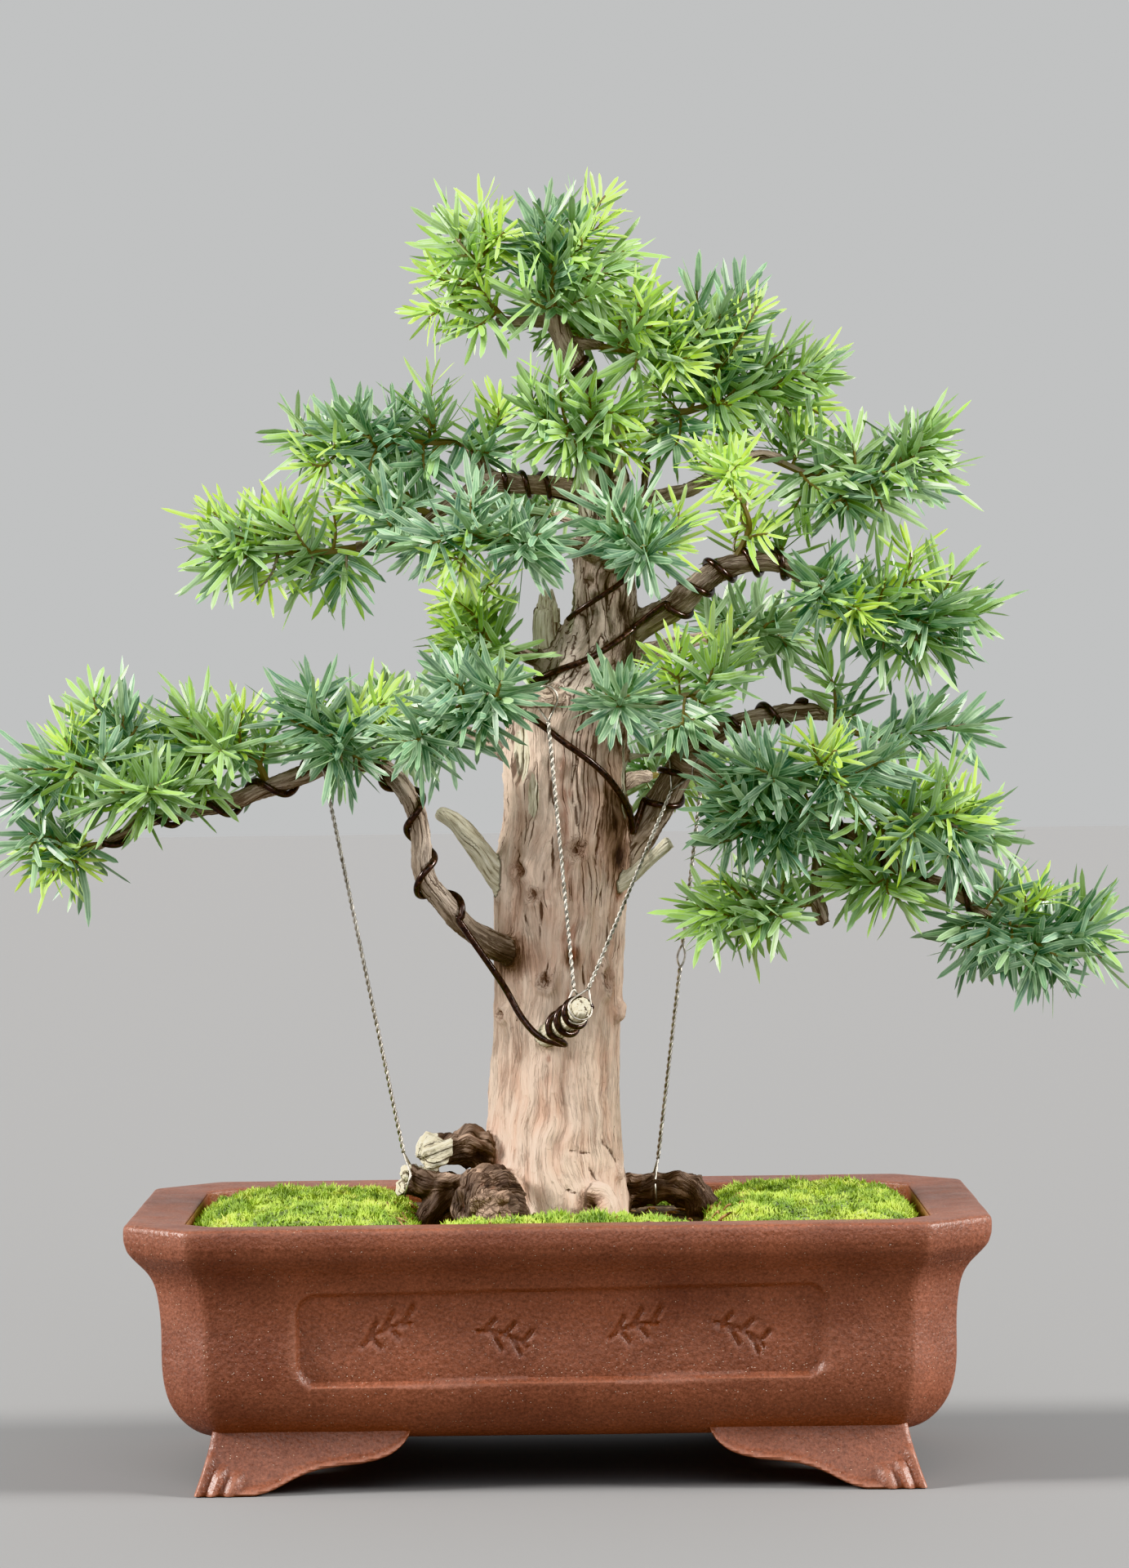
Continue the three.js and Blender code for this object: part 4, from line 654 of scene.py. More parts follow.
def living_moss(colours):
    """Cushion moss: soft shoots, with painted shade that darkens each spike towards its foot and the
    cushion under them more, so that the tips look lit.
    """
    finish, add = new_finish("living_moss", Roughness=0.75, Sheen_Weight=0.3, Sheen_Roughness=0.5)
    where = add("TexCoord").outputs["Object"]
    patch = add("TexNoise", {"Vector": where, "Scale": 60, "Detail": 5, "Roughness": 0.6})
    body = add("ValToRGB", {"Fac": patch}, [
        (0.32, colours.moss_dark), (0.47, colours.moss), (0.6, colours.moss_light), (0.72, "#dfe27a")])
    # Painted shade: each spike darkened towards its foot, and the cushion under the spikes darker still, by
    # the stored tip value
    tip = add("Attribute", attribute_name="tip").outputs["Fac"]
    shade = add("ValToRGB", {"Fac": tip}, [(0.0, 0.22), (0.6, 1.0)])
    # Clumps of a few millimetres, some of them duller
    clump = add("TexNoise", {"Vector": where, "Scale": 260, "Detail": 3})
    clump = add("MapRange", {0: clump, 1: 0.35, 2: 0.65, 3: 0.68, 4: 1.12})
    for tone in (clump, shade):
        body = add("Mix", {"Factor": 1.0, "A": body, "B": tone}, **DARKEN)
    return finished(finish, {"Base Color": body})


def old_bark(colours):
    """Old yew bark and stripped deadwood: thin peach scales that weather to grey-brown higher up, with fine
    long fibres, a red inner bark in places, and dark cracks; the bare wood is cream with fine grain."""
    finish, add = new_finish("old_yew_bark", Roughness=0.78, Specular_IOR_Level=0.35)
    grain = add("Attribute", attribute_name="grain").outputs["Vector"]
    shade, grey, red, bare, crack, split, knot = (
        add("Attribute", attribute_name=name).outputs["Fac"]
        for name in ("shade", "grey", "red", "bare", "crack", "split", "knot"))
    # Fibres 1.4 mm wide and 14 mm long, and finer ones a third of that
    long = add("Mapping", {"Vector": grain, "Scale": (1, 1, 0.1)})
    fibre = add("TexNoise", {"Vector": long, "Scale": 420, "Detail": 4, "Roughness": 0.6})
    thin = add("TexNoise", {"Vector": long, "Scale": 1300, "Detail": 3, "Roughness": 0.6})
    patch = add("TexNoise", {"Vector": grain, "Scale": 55, "Detail": 4, "Roughness": 0.6})
    wavy = add("TexNoise", {"Vector": grain, "Scale": 300, "Detail": 3, "Roughness": 0.6})
    # Scales 5 mm wide and 12 mm long whose edges are crisp
    half = add("Mapping", {"Vector": grain, "Scale": (1, 1, 0.4)})
    flake = add("TexNoise", {"Vector": half, "Scale": 150, "Detail": 7, "Roughness": 0.62})
    flake = add("ValToRGB", {"Fac": flake}, [(0.4, 0.0), (0.43, 0.5), (0.54, 0.5), (0.57, 1.0)])
    # Stored values made uneven by a pattern: inner bark, bare wood that ends along the fibres in a torn
    # edge, drawn cracks under a millimetre wide, and knots with a dark heart and rings
    uneven = []
    for value, pattern, most, stops in (
            (red, fibre, 0.3, [(0.3, 0.0), (0.75, 0.6)]),
            (bare, fibre, 0.25, [(0.42, 0.0), (0.52, 1.0)]),
            (split, thin, 0.35, [(0.4, 0.85), (0.85, 0.0)]),
            (knot, wavy, 0.4, [(0.0, 1.0), (0.24, 0.9), (0.34, 0.1), (0.46, 0.15), (0.54, 0.75), (0.62, 0.1),
                               (0.8, 0.1), (0.87, 0.55), (0.95, 0.0)])):
        stray = add("MapRange", {0: pattern, 1: 0.3, 2: 0.7, 3: -most, 4: most})
        value = add("Math", {0: value, 1: stray})
        uneven.append(add("ValToRGB", {"Fac": value}, stops))
    ruddy, stripped, split, ring = uneven
    # The skin's tone: the stored shade, which carries painted shade and light besides the bark's own tones,
    # varied by the fibres, the patches and the scales
    tone = shade
    for pattern, low, high, first, last in (
            (fibre, 0.3, 0.7, 0.14, -0.12), (patch, 0.3, 0.7, 0.12, -0.12), (flake, 0.0, 1.0, 0.09, -0.07)):
        part = add("MapRange", {0: pattern, 1: low, 2: high, 3: first, 4: last})
        tone = add("Math", {0: tone, 1: part})
    skin = add("ValToRGB", {"Fac": tone}, [
        (0.0, colours.bark_pale), (0.3, colours.bark), (0.6, colours.bark_brown), (1.0, colours.bark_dark)])
    cool = add("ValToRGB", {"Fac": tone}, [
        (0.0, colours.grey_pale), (0.5, colours.grey), (1.0, colours.grey_dark)])
    skin = add("Mix", {"Factor": grey, "A": skin, "B": cool}, **BLEND)
    skin = add("Mix", {"Factor": ruddy, "A": skin, "B": linear(colours.bark_red)}, **BLEND)
    # Fissures about 4 mm apart and 25 mm long where the bark is old and dark
    drawn = add("Mapping", {"Vector": grain, "Scale": (1, 1, 0.09)})
    bent = add("Mix", {"Factor": 0.003, "A": drawn, "B": patch.outputs["Color"]}, **SHIFT)
    cell = add("TexVoronoi", {"Vector": bent, "Scale": 240}, feature="DISTANCE_TO_EDGE")
    fissure = add("ValToRGB", {"Fac": cell}, [(0.015, 1.0), (0.07, 0.0)])
    # Hair-fine wrinkles along the grain, where a stretched noise passes its middle value
    drawn = add("Mapping", {"Vector": grain, "Scale": (1, 1, 0.08)})
    wrinkle = add("TexNoise", {"Vector": drawn, "Scale": 300, "Detail": 5, "Roughness": 0.66})
    wrinkle = add("ValToRGB", {"Fac": wrinkle}, [(0.455, 0.0), (0.49, 1.0), (0.51, 1.0), (0.545, 0.0)])
    # Both kinds of line fade with the shade and in patches
    lines = []
    for line, by_shade, by_patch in (
            (fissure, (0.28, 0.55, 0.0, 0.75), (0.4, 0.6, 0.25, 1.0)),
            (wrinkle, (0.05, 0.5, 0.22, 0.75), (0.35, 0.6, 0.35, 1.0))):
        for value, (low, high, first, last) in ((shade, by_shade), (patch, by_patch)):
            part = add("MapRange", {0: value, 1: low, 2: high, 3: first, 4: last})
            line = add("Math", {0: line, 1: part}, **PRODUCT)
        lines.append(line)
    fissure = add("Math", {0: lines[0], 1: lines[1]}, **LARGER)
    # Small dark flecks about 1.5 mm across, where scales have lifted
    cell = add("TexVoronoi", {"Vector": long, "Scale": 300})
    rare = add("ValToRGB", {"Fac": cell.outputs["Color"]}, [(0.9, 0.0), (0.96, 0.5)])
    spot = add("ValToRGB", {"Fac": cell}, [(0.12, 1.0), (0.3, 0.0)])
    fleck = add("Math", {0: rare, 1: spot}, **PRODUCT)
    skin = add("Mix", {"Factor": fleck, "A": skin, "B": linear("#7a5a48")}, **DARKEN)
    wood = add("ValToRGB", {"Fac": thin}, [
        (0.3, colours.deadwood_dark), (0.45, colours.deadwood), (0.7, colours.deadwood_pale)])
    skin = add("Mix", {"Factor": stripped, "A": skin, "B": wood}, **BLEND)
    clothed = add("MapRange", {0: stripped, 1: 0.0, 2: 0.5, 3: 1.0, 4: 0.0})
    fissure = add("Math", {0: fissure, 1: clothed}, **PRODUCT)
    # Open cracks, where the stored value passes 0, then everything that shows dark
    crossing = add("Math", {0: crack}, operation="ABSOLUTE")
    gap = add("ValToRGB", {"Fac": crossing}, [(0.03, 0.8), (0.13, 0.0)])
    part = add("MapRange", {0: flake, 1: 0.0, 2: 1.0, 3: 0.95, 4: 0.35})
    ring = add("Math", {0: ring, 1: part}, **PRODUCT)
    for dark in (fissure, split, ring):
        gap = add("Math", {0: gap, 1: dark}, **LARGER)
    deep = add("Mix", {"Factor": 1.0, "A": skin, "B": linear("#50392e")}, **DARKEN)
    skin = add("Mix", {"Factor": gap, "A": skin, "B": deep}, **BLEND)
    fine = add("Math", {0: fibre, 1: thin})
    part = add("Math", {0: flake, 1: 0.5}, **PRODUCT)
    fine = add("Math", {0: fine, 1: part})
    for low in (fleck, gap):
        fine = add("Math", {0: fine, 1: low}, **LESS)
    bump = add("Bump", {"Height": fine, "Strength": 0.85, "Distance": 0.0008})
    return finished(finish, {"Base Color": skin, "Normal": bump})


def dark_wire(colours):
    """Anodised aluminium training wire: dark brown metal with a broad soft gleam and small scuffs."""
    finish, add = new_finish(
        "anodised_aluminium_wire", Metallic=0.75, Coat_Weight=0.5, Coat_Roughness=0.14)
    where = add("TexCoord").outputs["Object"]
    scuff = add("TexNoise", {"Vector": where, "Scale": 700, "Detail": 3})
    metal = add("ValToRGB", {"Fac": scuff}, [(0.35, "#1a100d"), (0.6, colours.wire), (0.78, "#6a5248")])
    shine = add("MapRange", {0: scuff, 1: 0.3, 2: 0.7, 3: 0.24, 4: 0.42})
    return finished(finish, {"Base Color": metal, "Roughness": shine})


def bright_wire(colours):
    """Drawn galvanised wire: bright cool metal, a little dulled in random patches."""
    finish, add = new_finish("galvanised_steel_wire", Metallic=0.9, Roughness=0.34)
    where = add("TexCoord").outputs["Object"]
    dull = add("TexNoise", {"Vector": where, "Scale": 500, "Detail": 3})
    metal = add("ValToRGB", {"Fac": dull}, [(0.35, "#8f8a80"), (0.65, colours.guy)])
    return finished(finish, {"Base Color": metal})


def yew_leaf(colours):
    """Yew leaves: leathery, dark blue-green when old and lime when new, with a soft wax gleam, a pale green
    underside, and a rib and margins painted paler: the margins partly in their own colour, the rib and the
    rest as painted highlights."""
    finish, add = new_finish("living_yew_leaf", Roughness=0.36, Specular_IOR_Level=0.8)
    age, vary, under, rim, twig = (
        add("Attribute", attribute_name=name).outputs["Fac"]
        for name in ("age", "vary", "under", "rim", "twig"))
    tone = add("ValToRGB", {"Fac": age}, [
        (0.0, colours.leaf_old), (0.3, colours.leaf_dark), (0.52, colours.leaf), (0.76, colours.leaf_new),
        (1.0, colours.leaf_lime)])
    light = add("MapRange", {0: vary, 3: 0.7, 4: 1.42})
    tone = add("Mix", {"Factor": 1.0, "A": tone, "B": light}, **DARKEN)
    # Blotches of a few millimetres, so that no two leaves match
    where = add("TexCoord").outputs["Object"]
    blotch = add("TexNoise", {"Vector": where, "Scale": 160, "Detail": 2})
    blotch = add("MapRange", {0: blotch, 1: 0.35, 2: 0.7, 3: 0.04, 4: 0.42})
    below = add("ValToRGB", {"Fac": under}, [(0.5, 0.0), (0.56, 0.6)])
    # Painted highlight: the rib and the margins are mixed towards a pale colour, partly the margins' own
    # paleness and partly glints
    margin = add("ValToRGB", {"Fac": rim}, [(0.0, 0.5), (0.16, 0.0), (0.55, 0.0), (0.95, 0.75)])
    for share, colour in (
            (blotch, colours.leaf_margin), (below, colours.leaf_under), (margin, colours.leaf_margin),
            (twig, colours.twig)):
        tone = add("Mix", {"Factor": share, "A": tone, "B": linear(colour)}, **BLEND)
    return finished(finish, {"Base Color": tone})


def pale_floor(colours):
    """Matt painted board, pale and even."""
    finish, add = new_finish("matt_pale_board", Roughness=0.85)
    return finished(finish, {"Base Color": linear(colours.floor)})


# Pot


def octagon_points(turn, inset):
    """Points round the pot: `turn` counts from corner to corner, 0 to 8, and `inset` moves every side in by
    the same distance. Each corner is rounded by averaging three places 2 mm apart."""
    a, b = POT["half_width"] - inset, POT["half_depth"] - inset
    c = POT["corner"] - (2 - math.sqrt(2)) * inset
    corners = np.stack([
        np.stack(pair, -1) for pair in (
            (a, c - b), (a, b - c), (a - c, b), (c - a, b),
            (-a, b - c), (-a, c - b), (c - a, -b), (a - c, -b))], 1)
    whole = np.floor(turn).astype(int) % 8
    sides = np.linalg.norm(np.roll(corners, -1, 1) - corners, axis=-1)

    def edge(t):
        k = np.floor(t).astype(int) % 8
        part = (t - np.floor(t))[..., None]
        rows = np.arange(len(corners))[:, None]
        return corners[rows, k] * (1 - part) + corners[rows, (k + 1) % 8] * part

    t = np.broadcast_to(turn, (len(inset), len(turn)))
    step, back, fore = (CORNER_EASE / sides[:, (whole + k) % 8] for k in (0, -1, 1))
    part = t - np.floor(t)
    before = np.where(part - step < 0, np.floor(t) + (part / step - 1) * back, t - step)
    after = np.where(part + step > 1, np.floor(t) + 1 + (1 - (1 - part) / step) * fore, t + step)
    return (edge(before) + 2 * edge(t) + edge(after)) / 4


def sprig_strokes():
    """Strokes of four incised leaf sprigs: each is a bowed stem with a few slim leaves on either side."""
    strokes = []
    for middle, height, lean in SPRIGS:
        t = np.linspace(-1, 1, 9)
        stem = np.stack([middle + 9 * t + 2.4 * lean * t**2, height + 8.5 * t * lean + 1.6 * (1 - t**2)], 1)
        strokes.append((stem, STEM_GROOVE))
        for k, side in ((1, 1), (2, -1), (4, 1), (5, -1), (7, 1)):
            reach = np.array([3.6, 5.2 * side + 3 * lean])
            strokes.append((stem[k] + np.linspace(0, 1, 5)[:, None] * reach, LEAF_GROOVE))
    return strokes


def panel_depth(x, z):
    """How far the front is pressed in: a sunk panel with rounded corners, and the grooves of the sprigs."""
    p = PANEL
    dx = np.abs(x - (p["left"] + p["right"]) / 2) - (p["right"] - p["left"]) / 2 + p["corner"]
    dz = np.abs(z - p["lean"] * x - (p["bottom"] + p["top"]) / 2) - (p["top"] - p["bottom"]) / 2 + p["corner"]
    outside = np.hypot(np.maximum(dx, 0), np.maximum(dz, 0)) + np.minimum(np.maximum(dx, dz), 0) - p["corner"]
    groove = np.zeros_like(x)
    for line, width in sprig_strokes():
        for a, b in zip(line[:-1], line[1:]):
            way = b - a
            share = np.clip(((x - a[0]) * way[0] + (z - a[1]) * way[1]) / (way @ way), 0, 1)
            off = np.hypot(x - a[0] - share * way[0], z - a[1] - share * way[1])
            groove = np.maximum(groove, np.clip(1 - (off / width) ** 2, 0, 1))
    return p["depth"] * np.clip(0.5 - outside / p["slope"], 0, 1) + p["groove"] * groove


def crowded(count):
    """Shares of the way along a side, closer together near its ends: half of 1 - cos(pi x share)."""
    return 0.5 - 0.5 * np.cos(np.pi * np.linspace(0, 1, count + 1)[:-1])


def pot_wall():
    """The pot's body: its wall profile, bottom to rim to inner floor, carried round the cut-cornered plan."""
    outer = smooth_rows(OUTER_WALL, 5)
    low, high = PANEL_ROWS
    fine = np.arange(low, high + 1, 1.0)
    middle = np.stack([np.interp(fine, *outer[:, ::-1].T), fine], 1)
    outer = np.vstack([outer[outer[:, 1] < low], middle, outer[outer[:, 1] > high]])
    profile = np.vstack([outer, smooth_rows(INNER_WALL, 4)])
    # Cut corners get few points, plain sides more, and the front with its panel most
    front = [np.linspace(start, end, count)[:-1] for start, end, count in
             ((0, 0.13, 14), (0.13, 0.87, 236), (0.87, 1, 14))]
    turn = np.concatenate([
        *(k + crowded(12 if k % 2 else 40) for k in range(6)), 6 + np.concatenate(front), 7 + crowded(12)])
    plan = octagon_points(turn, profile[:, 0])
    height = np.broadcast_to(profile[:, 1:2], plan.shape[:2])
    points = np.stack([plan[..., 0] + POT["x"], plan[..., 1], height], -1)
    wobble = HAND_WOBBLE * noise(points.reshape(-1, 3) / 26, 5).reshape(height.shape)
    outward = unit(np.stack([plan[..., 0] / POT["half_width"], plan[..., 1] / POT["half_depth"]], -1))
    is_outer = (np.arange(len(profile)) < len(outer))[:, None]
    points[..., :2] += (wobble * is_outer)[..., None] * outward
    is_front = is_outer & ((turn >= 6) & (turn <= 7))[None, :]
    is_front = is_front & (height > low - 3) & (height < high + 3)
    points[..., 1] += np.where(is_front, panel_depth(points[..., 0], points[..., 2]), 0)
    return points.reshape(-1, 3), ring_faces(len(profile), len(turn))


def foot_arch(toe, reach):
    """The foot's lower edge as rows of distance from its outer end and height: flat sole, then an ogee."""
    t = np.linspace(0, 1, 16)[:, None]

    def cubic(a, b, c, d):
        a, b, c, d = (np.array(p, float) for p in (a, b, c, d))
        return a * (1 - t) ** 3 + 3 * b * t * (1 - t) ** 2 + 3 * c * t**2 * (1 - t) + d * t**3

    sole, top = FOOT["sole"], FOOT["top"]
    low = cubic((toe, sole), (toe + 0.2 * reach, 0), (toe + 0.2 * reach, 6.6), (toe + 0.52 * reach, 8.4))
    high = cubic((toe + 0.52 * reach, 8.4), (toe + 0.8 * reach, 9.6), (toe + reach, 11), (toe + reach, top))
    return np.vstack([[(0, sole)], low, high[1:]])


def foot_arm(toe, reach):
    """A bracket foot's arm: at each distance from its outer end, an upright section from the arch up to
    the pot's body."""
    arch = foot_arch(toe, reach)
    along = np.append(np.arange(0, toe + reach - 0.5, 1.5), toe + reach)
    low = np.minimum(np.interp(along, arch[:, 0], arch[:, 1]), FOOT["top"] - 1)[:, None]
    over, up = np.array([(0, 0), (0, 1), (1, 1), (1, 0)], float).T
    z = low + (FOOT["top"] - low) * up
    x = np.broadcast_to(-along[:, None], z.shape)
    y = np.broadcast_to(over * FOOT["thick"], z.shape)
    return np.stack([x, y, z], -1).reshape(-1, 3), ring_faces(len(along), 4)


def feet(cell):
    """Four bracket feet of two arms each, fused and eased by averaging neighbours, then splayed outwards
    below the body and pinched into claws at the toes. Returns points and faces."""
    parts = []
    for side_x in (-1, 1):
        for side_y in (-1, 1):
            corner = (side_x * FOOT["x"], side_y * FOOT["y"], 0)
            front, faces = foot_arm(*FOOT["front_arm"])
            side, side_faces = foot_arm(*FOOT["side_arm"])
            front = front * (side_x, -side_y, 1) + corner
            side = np.stack([-side[:, 1] * side_x, side[:, 0] * side_y, side[:, 2]], 1) + corner
            for points, lists, mirrored in (
                    (front, faces, side_x * side_y > 0), (side, side_faces, side_x * side_y < 0)):
                parts.append((points, [f[:, ::-1] for f in lists] if mirrored else lists))
    block = fill_mesh("feet_block", *joined(parts))
    points, faces = fused(block, cell, rounds=4)
    bpy.data.objects.remove(block)
    sign = np.sign(points[:, :2])
    across, height = np.abs(points[:, 0]), points[:, 2].copy()
    outer = np.clip((np.abs(points[:, 1]) - FOOT["y"] + 3) / 2, 0, 1)
    low = np.clip((FOOT["top"] - height) / (FOOT["top"] - FOOT["sole"]), 0, 1)
    points[:, :2] += sign * (FOOT["splay"] * low**1.4)[:, None]
    # Rounded lobes on each toe, valleys between them, and a rolled lip along the arch
    raised = np.zeros(len(points))
    for middle, half, high in CLAWS:
        hill = np.exp(-((across - middle) / half) ** 2) * np.clip((high - height) / 4, 0, 1)
        raised = np.maximum(raised, FOOT["claw"] * hill)
    arch = foot_arch(*FOOT["front_arm"])
    edge = np.interp(FOOT["x"] - across, arch[:, 0], arch[:, 1])
    lip = np.exp(-((height - edge - 1.2) / 1.9) ** 2) * np.clip((113 - across) / 3, 0, 1)
    raised = np.maximum(raised, FOOT["lip"] * lip) - FOOT["valley"]
    points[:, 1] += sign[:, 1] * outer * raised
    points[:, 0] += POT["x"]
    return points, faces


# Wood


def limb_path(name):
    """A limb's places and radii as one smooth curve with evenly spaced points."""
    rows = np.asarray(LIMBS[name], float)
    return even_rows(smooth_rows(np.column_stack([at(rows[:, :3]), rows[:, 3]]), 8), STEP["limb"])


def trunk_rings():
    """The trunk's rings: half width x (cos a, depth x sin a), in by shallow flutes that wander up it."""
    rows = even_rows(smooth_rows([(0, h, 0, left, right) for h, left, right in TRUNK], 6), STEP["trunk"])
    height, left, right = rows[:, 1], rows[:, 3], rows[:, 4]
    centre = at(np.stack([(left + right) / 2, height, 0 * height], 1))
    half = (right - left) / 2
    angle = 2 * np.pi * np.arange(SIDES["trunk"]) / SIDES["trunk"]
    dip = np.abs(np.sin(angle)) * (0.5 + 0.5 * np.sin(3 * angle + height[:, None] / 50))
    size = half[:, None] * (1 - FLUTE * dip)
    points = np.stack([centre[:, :1] + size * np.cos(angle), TRUNK_DEPTH * size * np.sin(angle),
                       np.broadcast_to(centre[:, 2:], size.shape)], -1)
    return points, centre, half


def ball(centre, radius):
    """A knob: radius x (sin b x cos a, sin b x sin a, cos b)."""
    b = np.linspace(0.12, np.pi - 0.12, 9)[::-1, None]
    a = 2 * np.pi * np.arange(14)[None] / 14
    shape = np.stack([np.sin(b) * np.cos(a), np.sin(b) * np.sin(a), np.cos(b) + 0 * a], -1)
    return (centre + radius * shape).reshape(-1, 3), ring_faces(9, 14)


def fused(piece, cell, rounds):
    """Makes a piece one closed skin with a cell of the given size, then moves every point halfway to the
    middle of its neighbours a few times. Returns its points in millimetres and its faces."""
    fuse = piece.modifiers.new("fuse", "REMESH")
    fuse.mode = "VOXEL"
    fuse.voxel_size = cell
    applied(piece)
    mesh = piece.data
    points = points_of(mesh) / METRE
    edges = np.empty(2 * len(mesh.edges), np.int32)
    mesh.edges.foreach_get("vertices", edges)
    a, b = edges[::2], edges[1::2]
    count = np.bincount(a, minlength=len(points)) + np.bincount(b, minlength=len(points))
    for _ in range(rounds):
        total = np.stack([
            np.bincount(a, points[b, c], len(points)) + np.bincount(b, points[a, c], len(points))
            for c in range(3)], 1)
        points += 0.5 * (total / count[:, None] - points)
    sizes = np.empty(len(mesh.polygons), np.int32)
    mesh.polygons.foreach_get("loop_total", sizes)
    corners = np.empty(len(mesh.loops), np.int32)
    mesh.loops.foreach_get("vertex_index", corners)
    starts = np.cumsum(sizes) - sizes
    faces = [corners[starts[sizes == n][:, None] + np.arange(n)] for n in np.unique(sizes)]
    return points, faces


def near_limbs(points):
    """For each point: the limb whose skin is nearest, the distance along it, the angle round it, its radius
    there and the point's own distance from its axis. Limb 0 is the trunk."""
    _, centre, half = trunk_rings()
    axes = [(centre, half)] + [(path[:, :3], path[:, 3]) for path in map(limb_path, LIMBS)]
    best = np.full(len(points), np.inf)
    owner = np.zeros(len(points), int)
    along, angle, radius, reach = (np.zeros(len(points)) for _ in range(4))
    for number, (path, radii) in enumerate(axes):
        low, high = (path - radii[:, None]).min(0) - 6, (path + radii[:, None]).max(0) + 6
        inside = np.where(((points > low) & (points < high)).all(1))[0]
        if not len(inside):
            continue
        distance = walked(path)
        way, side, third = frames(path)
        for part in np.array_split(inside, len(inside) // 4000 + 1):
            offset = points[part][:, None] - path[None]
            away = np.linalg.norm(offset, axis=2)
            k = away.argmin(1)
            here = np.arange(len(part))
            skin = away[here, k] - radii[k]
            better = skin < best[part]
            rows, k, off = part[better], k[better], offset[here, k][better]
            forward, aside, up = (np.einsum("ij,ij->i", off, axis[k]) for axis in (way, side, third))
            best[rows] = skin[better]
            owner[rows] = number
            along[rows] = distance[k] + forward
            angle[rows] = np.arctan2(up, aside)
            radius[rows] = radii[k]
            reach[rows] = skin[better] + radii[k]
    return owner, along, angle, radius, reach


def spots(points, marks):
    """A hill of height 1 round each mark (x, height, half width, half height) on the front of the tree."""
    total = np.zeros(len(points))
    for x, z, wide, high in marks:
        off = ((points[:, 0] - x) / wide) ** 2 + ((points[:, 2] - z - LIFT) / high) ** 2
        total = np.maximum(total, np.where(points[:, 1] < 4, np.exp(-off), 0))
    return total


FAR = 4.0  # a distance from a knot or crack at which it no longer shows
# How deep or high each mark of the bark is
DEPTHS = {"crack": 0.85, "drawn crack": 0.9, "collar": 1.7, "hole": 2.2, "fold": 1.25, "hollow": 3.0,
          "scar": 1.5, "scar lip": 0.8}
# Marks on the front of the trunk: x, height, half width, half height
HOLLOW = (10, 98, 3.4, 3.2)
KNOTS = [(6, 230, 4.2, 5), (-15, 222, 3.6, 4), (16.5, 181, 2.6, 6.5), (-22, 168, 1.9, 2.6),
         (-10, 213, 3, 3.6), (10, 99, 6, 5.6), (-6, 181, 3.4, 4), (13, 330, 2.6, 4)]
# Painted shade on the front: darkness in the hollow low down, at the armpits of the low branches and in the
# crevice beside the mid right branch, and one more small dark spot
DARK_SPOTS_AND_PAINTED_SHADE = [(-20, 190, 8, 8), (10, 98, 4.2, 4), (22, 226, 4, 12), (20, 240, 5, 16), (4, 190, 3, 4),
              (27, 302, 4, 16), (25, 318, 3, 8)]
# Folds of the trunk's front: upper end, lower end, half width, depth
FOLDS = [((-15, 246), (-18, 194), 3.4, 1.9), ((-2, 246), (4.5, 202), 2.4, 1.1),
         ((13, 262), (9, 226), 2.6, 1.2), ((15, 215), (10, 178), 2.6, 1.0),
         ((-10, 200), (-9, 166), 2.2, 0.7), ((11, 346), (9, 296), 1.8, 0.9),
         ((19, 344), (20, 300), 1.8, 0.8), ((6, 140), (12, 104), 4, 0.8), ((-16, 162), (-20, 116), 2.6, 1.1),
         ((1, 156), (-3, 112), 2.2, 0.9), ((14, 164), (17, 120), 2.2, 1.0), ((-9, 142), (-13, 102), 2.0, 0.8),
         ((19, 204), (20, 160), 2.0, 0.9)]
RED_MARKS = [(2, 250, 3.4, 30), (-5, 145, 2.2, 4.4), (2, 175, 1.8, 6), (21, 214, 2.2, 4.4), (-5, 152, 1.4, 2),
             (-26, 112, 5, 14), (3, 200, 4, 14)]
BARE_MARKS = [(-14.5, 266, 3.6, 11), (-10, 250, 2.6, 9), (24.5, 255, 1.8, 16), (5, 330, 1.6, 24)]
CRACKS = [((16, 246), (13, 222)), ((8, 187), (9, 178)), ((-4, 190), (-7, 180)), ((2, 118), (12, 116)),
          ((9, 112), (13, 106)), ((-3, 236), (-2, 214)), ((6, 262), (9, 236)), ((-14, 208), (-12, 200)),
          ((-18, 232), (-12, 218)), ((14, 122), (20, 112)), ((0, 104), (6, 101)), ((10, 338), (12, 300)),
          ((18, 344), (19, 306)), ((15, 300), (12, 272)), ((-6, 222), (-8, 196)), ((18, 205), (17, 188))]


def round_knots(points, across):
    """Places across the limb that part round each knot, as grain does: each is pushed away from the knot's
    middle. Also returns the distance from the nearest knot as a share of its size."""
    nearest = np.full(len(points), FAR)
    front = points[:, 1] < 4
    for x, z, wide, high in KNOTS:
        dx, dz = points[:, 0] - x, points[:, 2] - z - LIFT
        away = np.sqrt((dx / wide) ** 2 + (dz / high) ** 2)
        across = across + 0.9 * np.where(front, np.exp(-0.4 * away**2), 0) * dx
        nearest = np.where(front, np.minimum(nearest, away), nearest)
    return across, nearest


def off_line(points, ends):
    """Distance in millimetres of each point from a line on the front, and the share of the way along it."""
    a, b = np.array(ends, float)
    flat = points[:, [0, 2]] - (0, LIFT) - a
    share = np.clip(flat @ (b - a) / ((b - a) @ (b - a)), 0, 1)
    return np.linalg.norm(flat - share[:, None] * (b - a), axis=1), share


def from_cracks(points):
    """Distance in millimetres from the nearest drawn crack on the front, less where the crack is wide."""
    nearest = np.full(len(points), FAR)
    for ends in CRACKS:
        off, share = off_line(points, ends)
        off = off + 0.6 * np.abs(noise(points / (3, 3, 6), 9)) + 0.5 - 0.5 * np.sin(np.pi * share)
        nearest = np.where(points[:, 1] < 2, np.minimum(nearest, off), nearest)
    return nearest


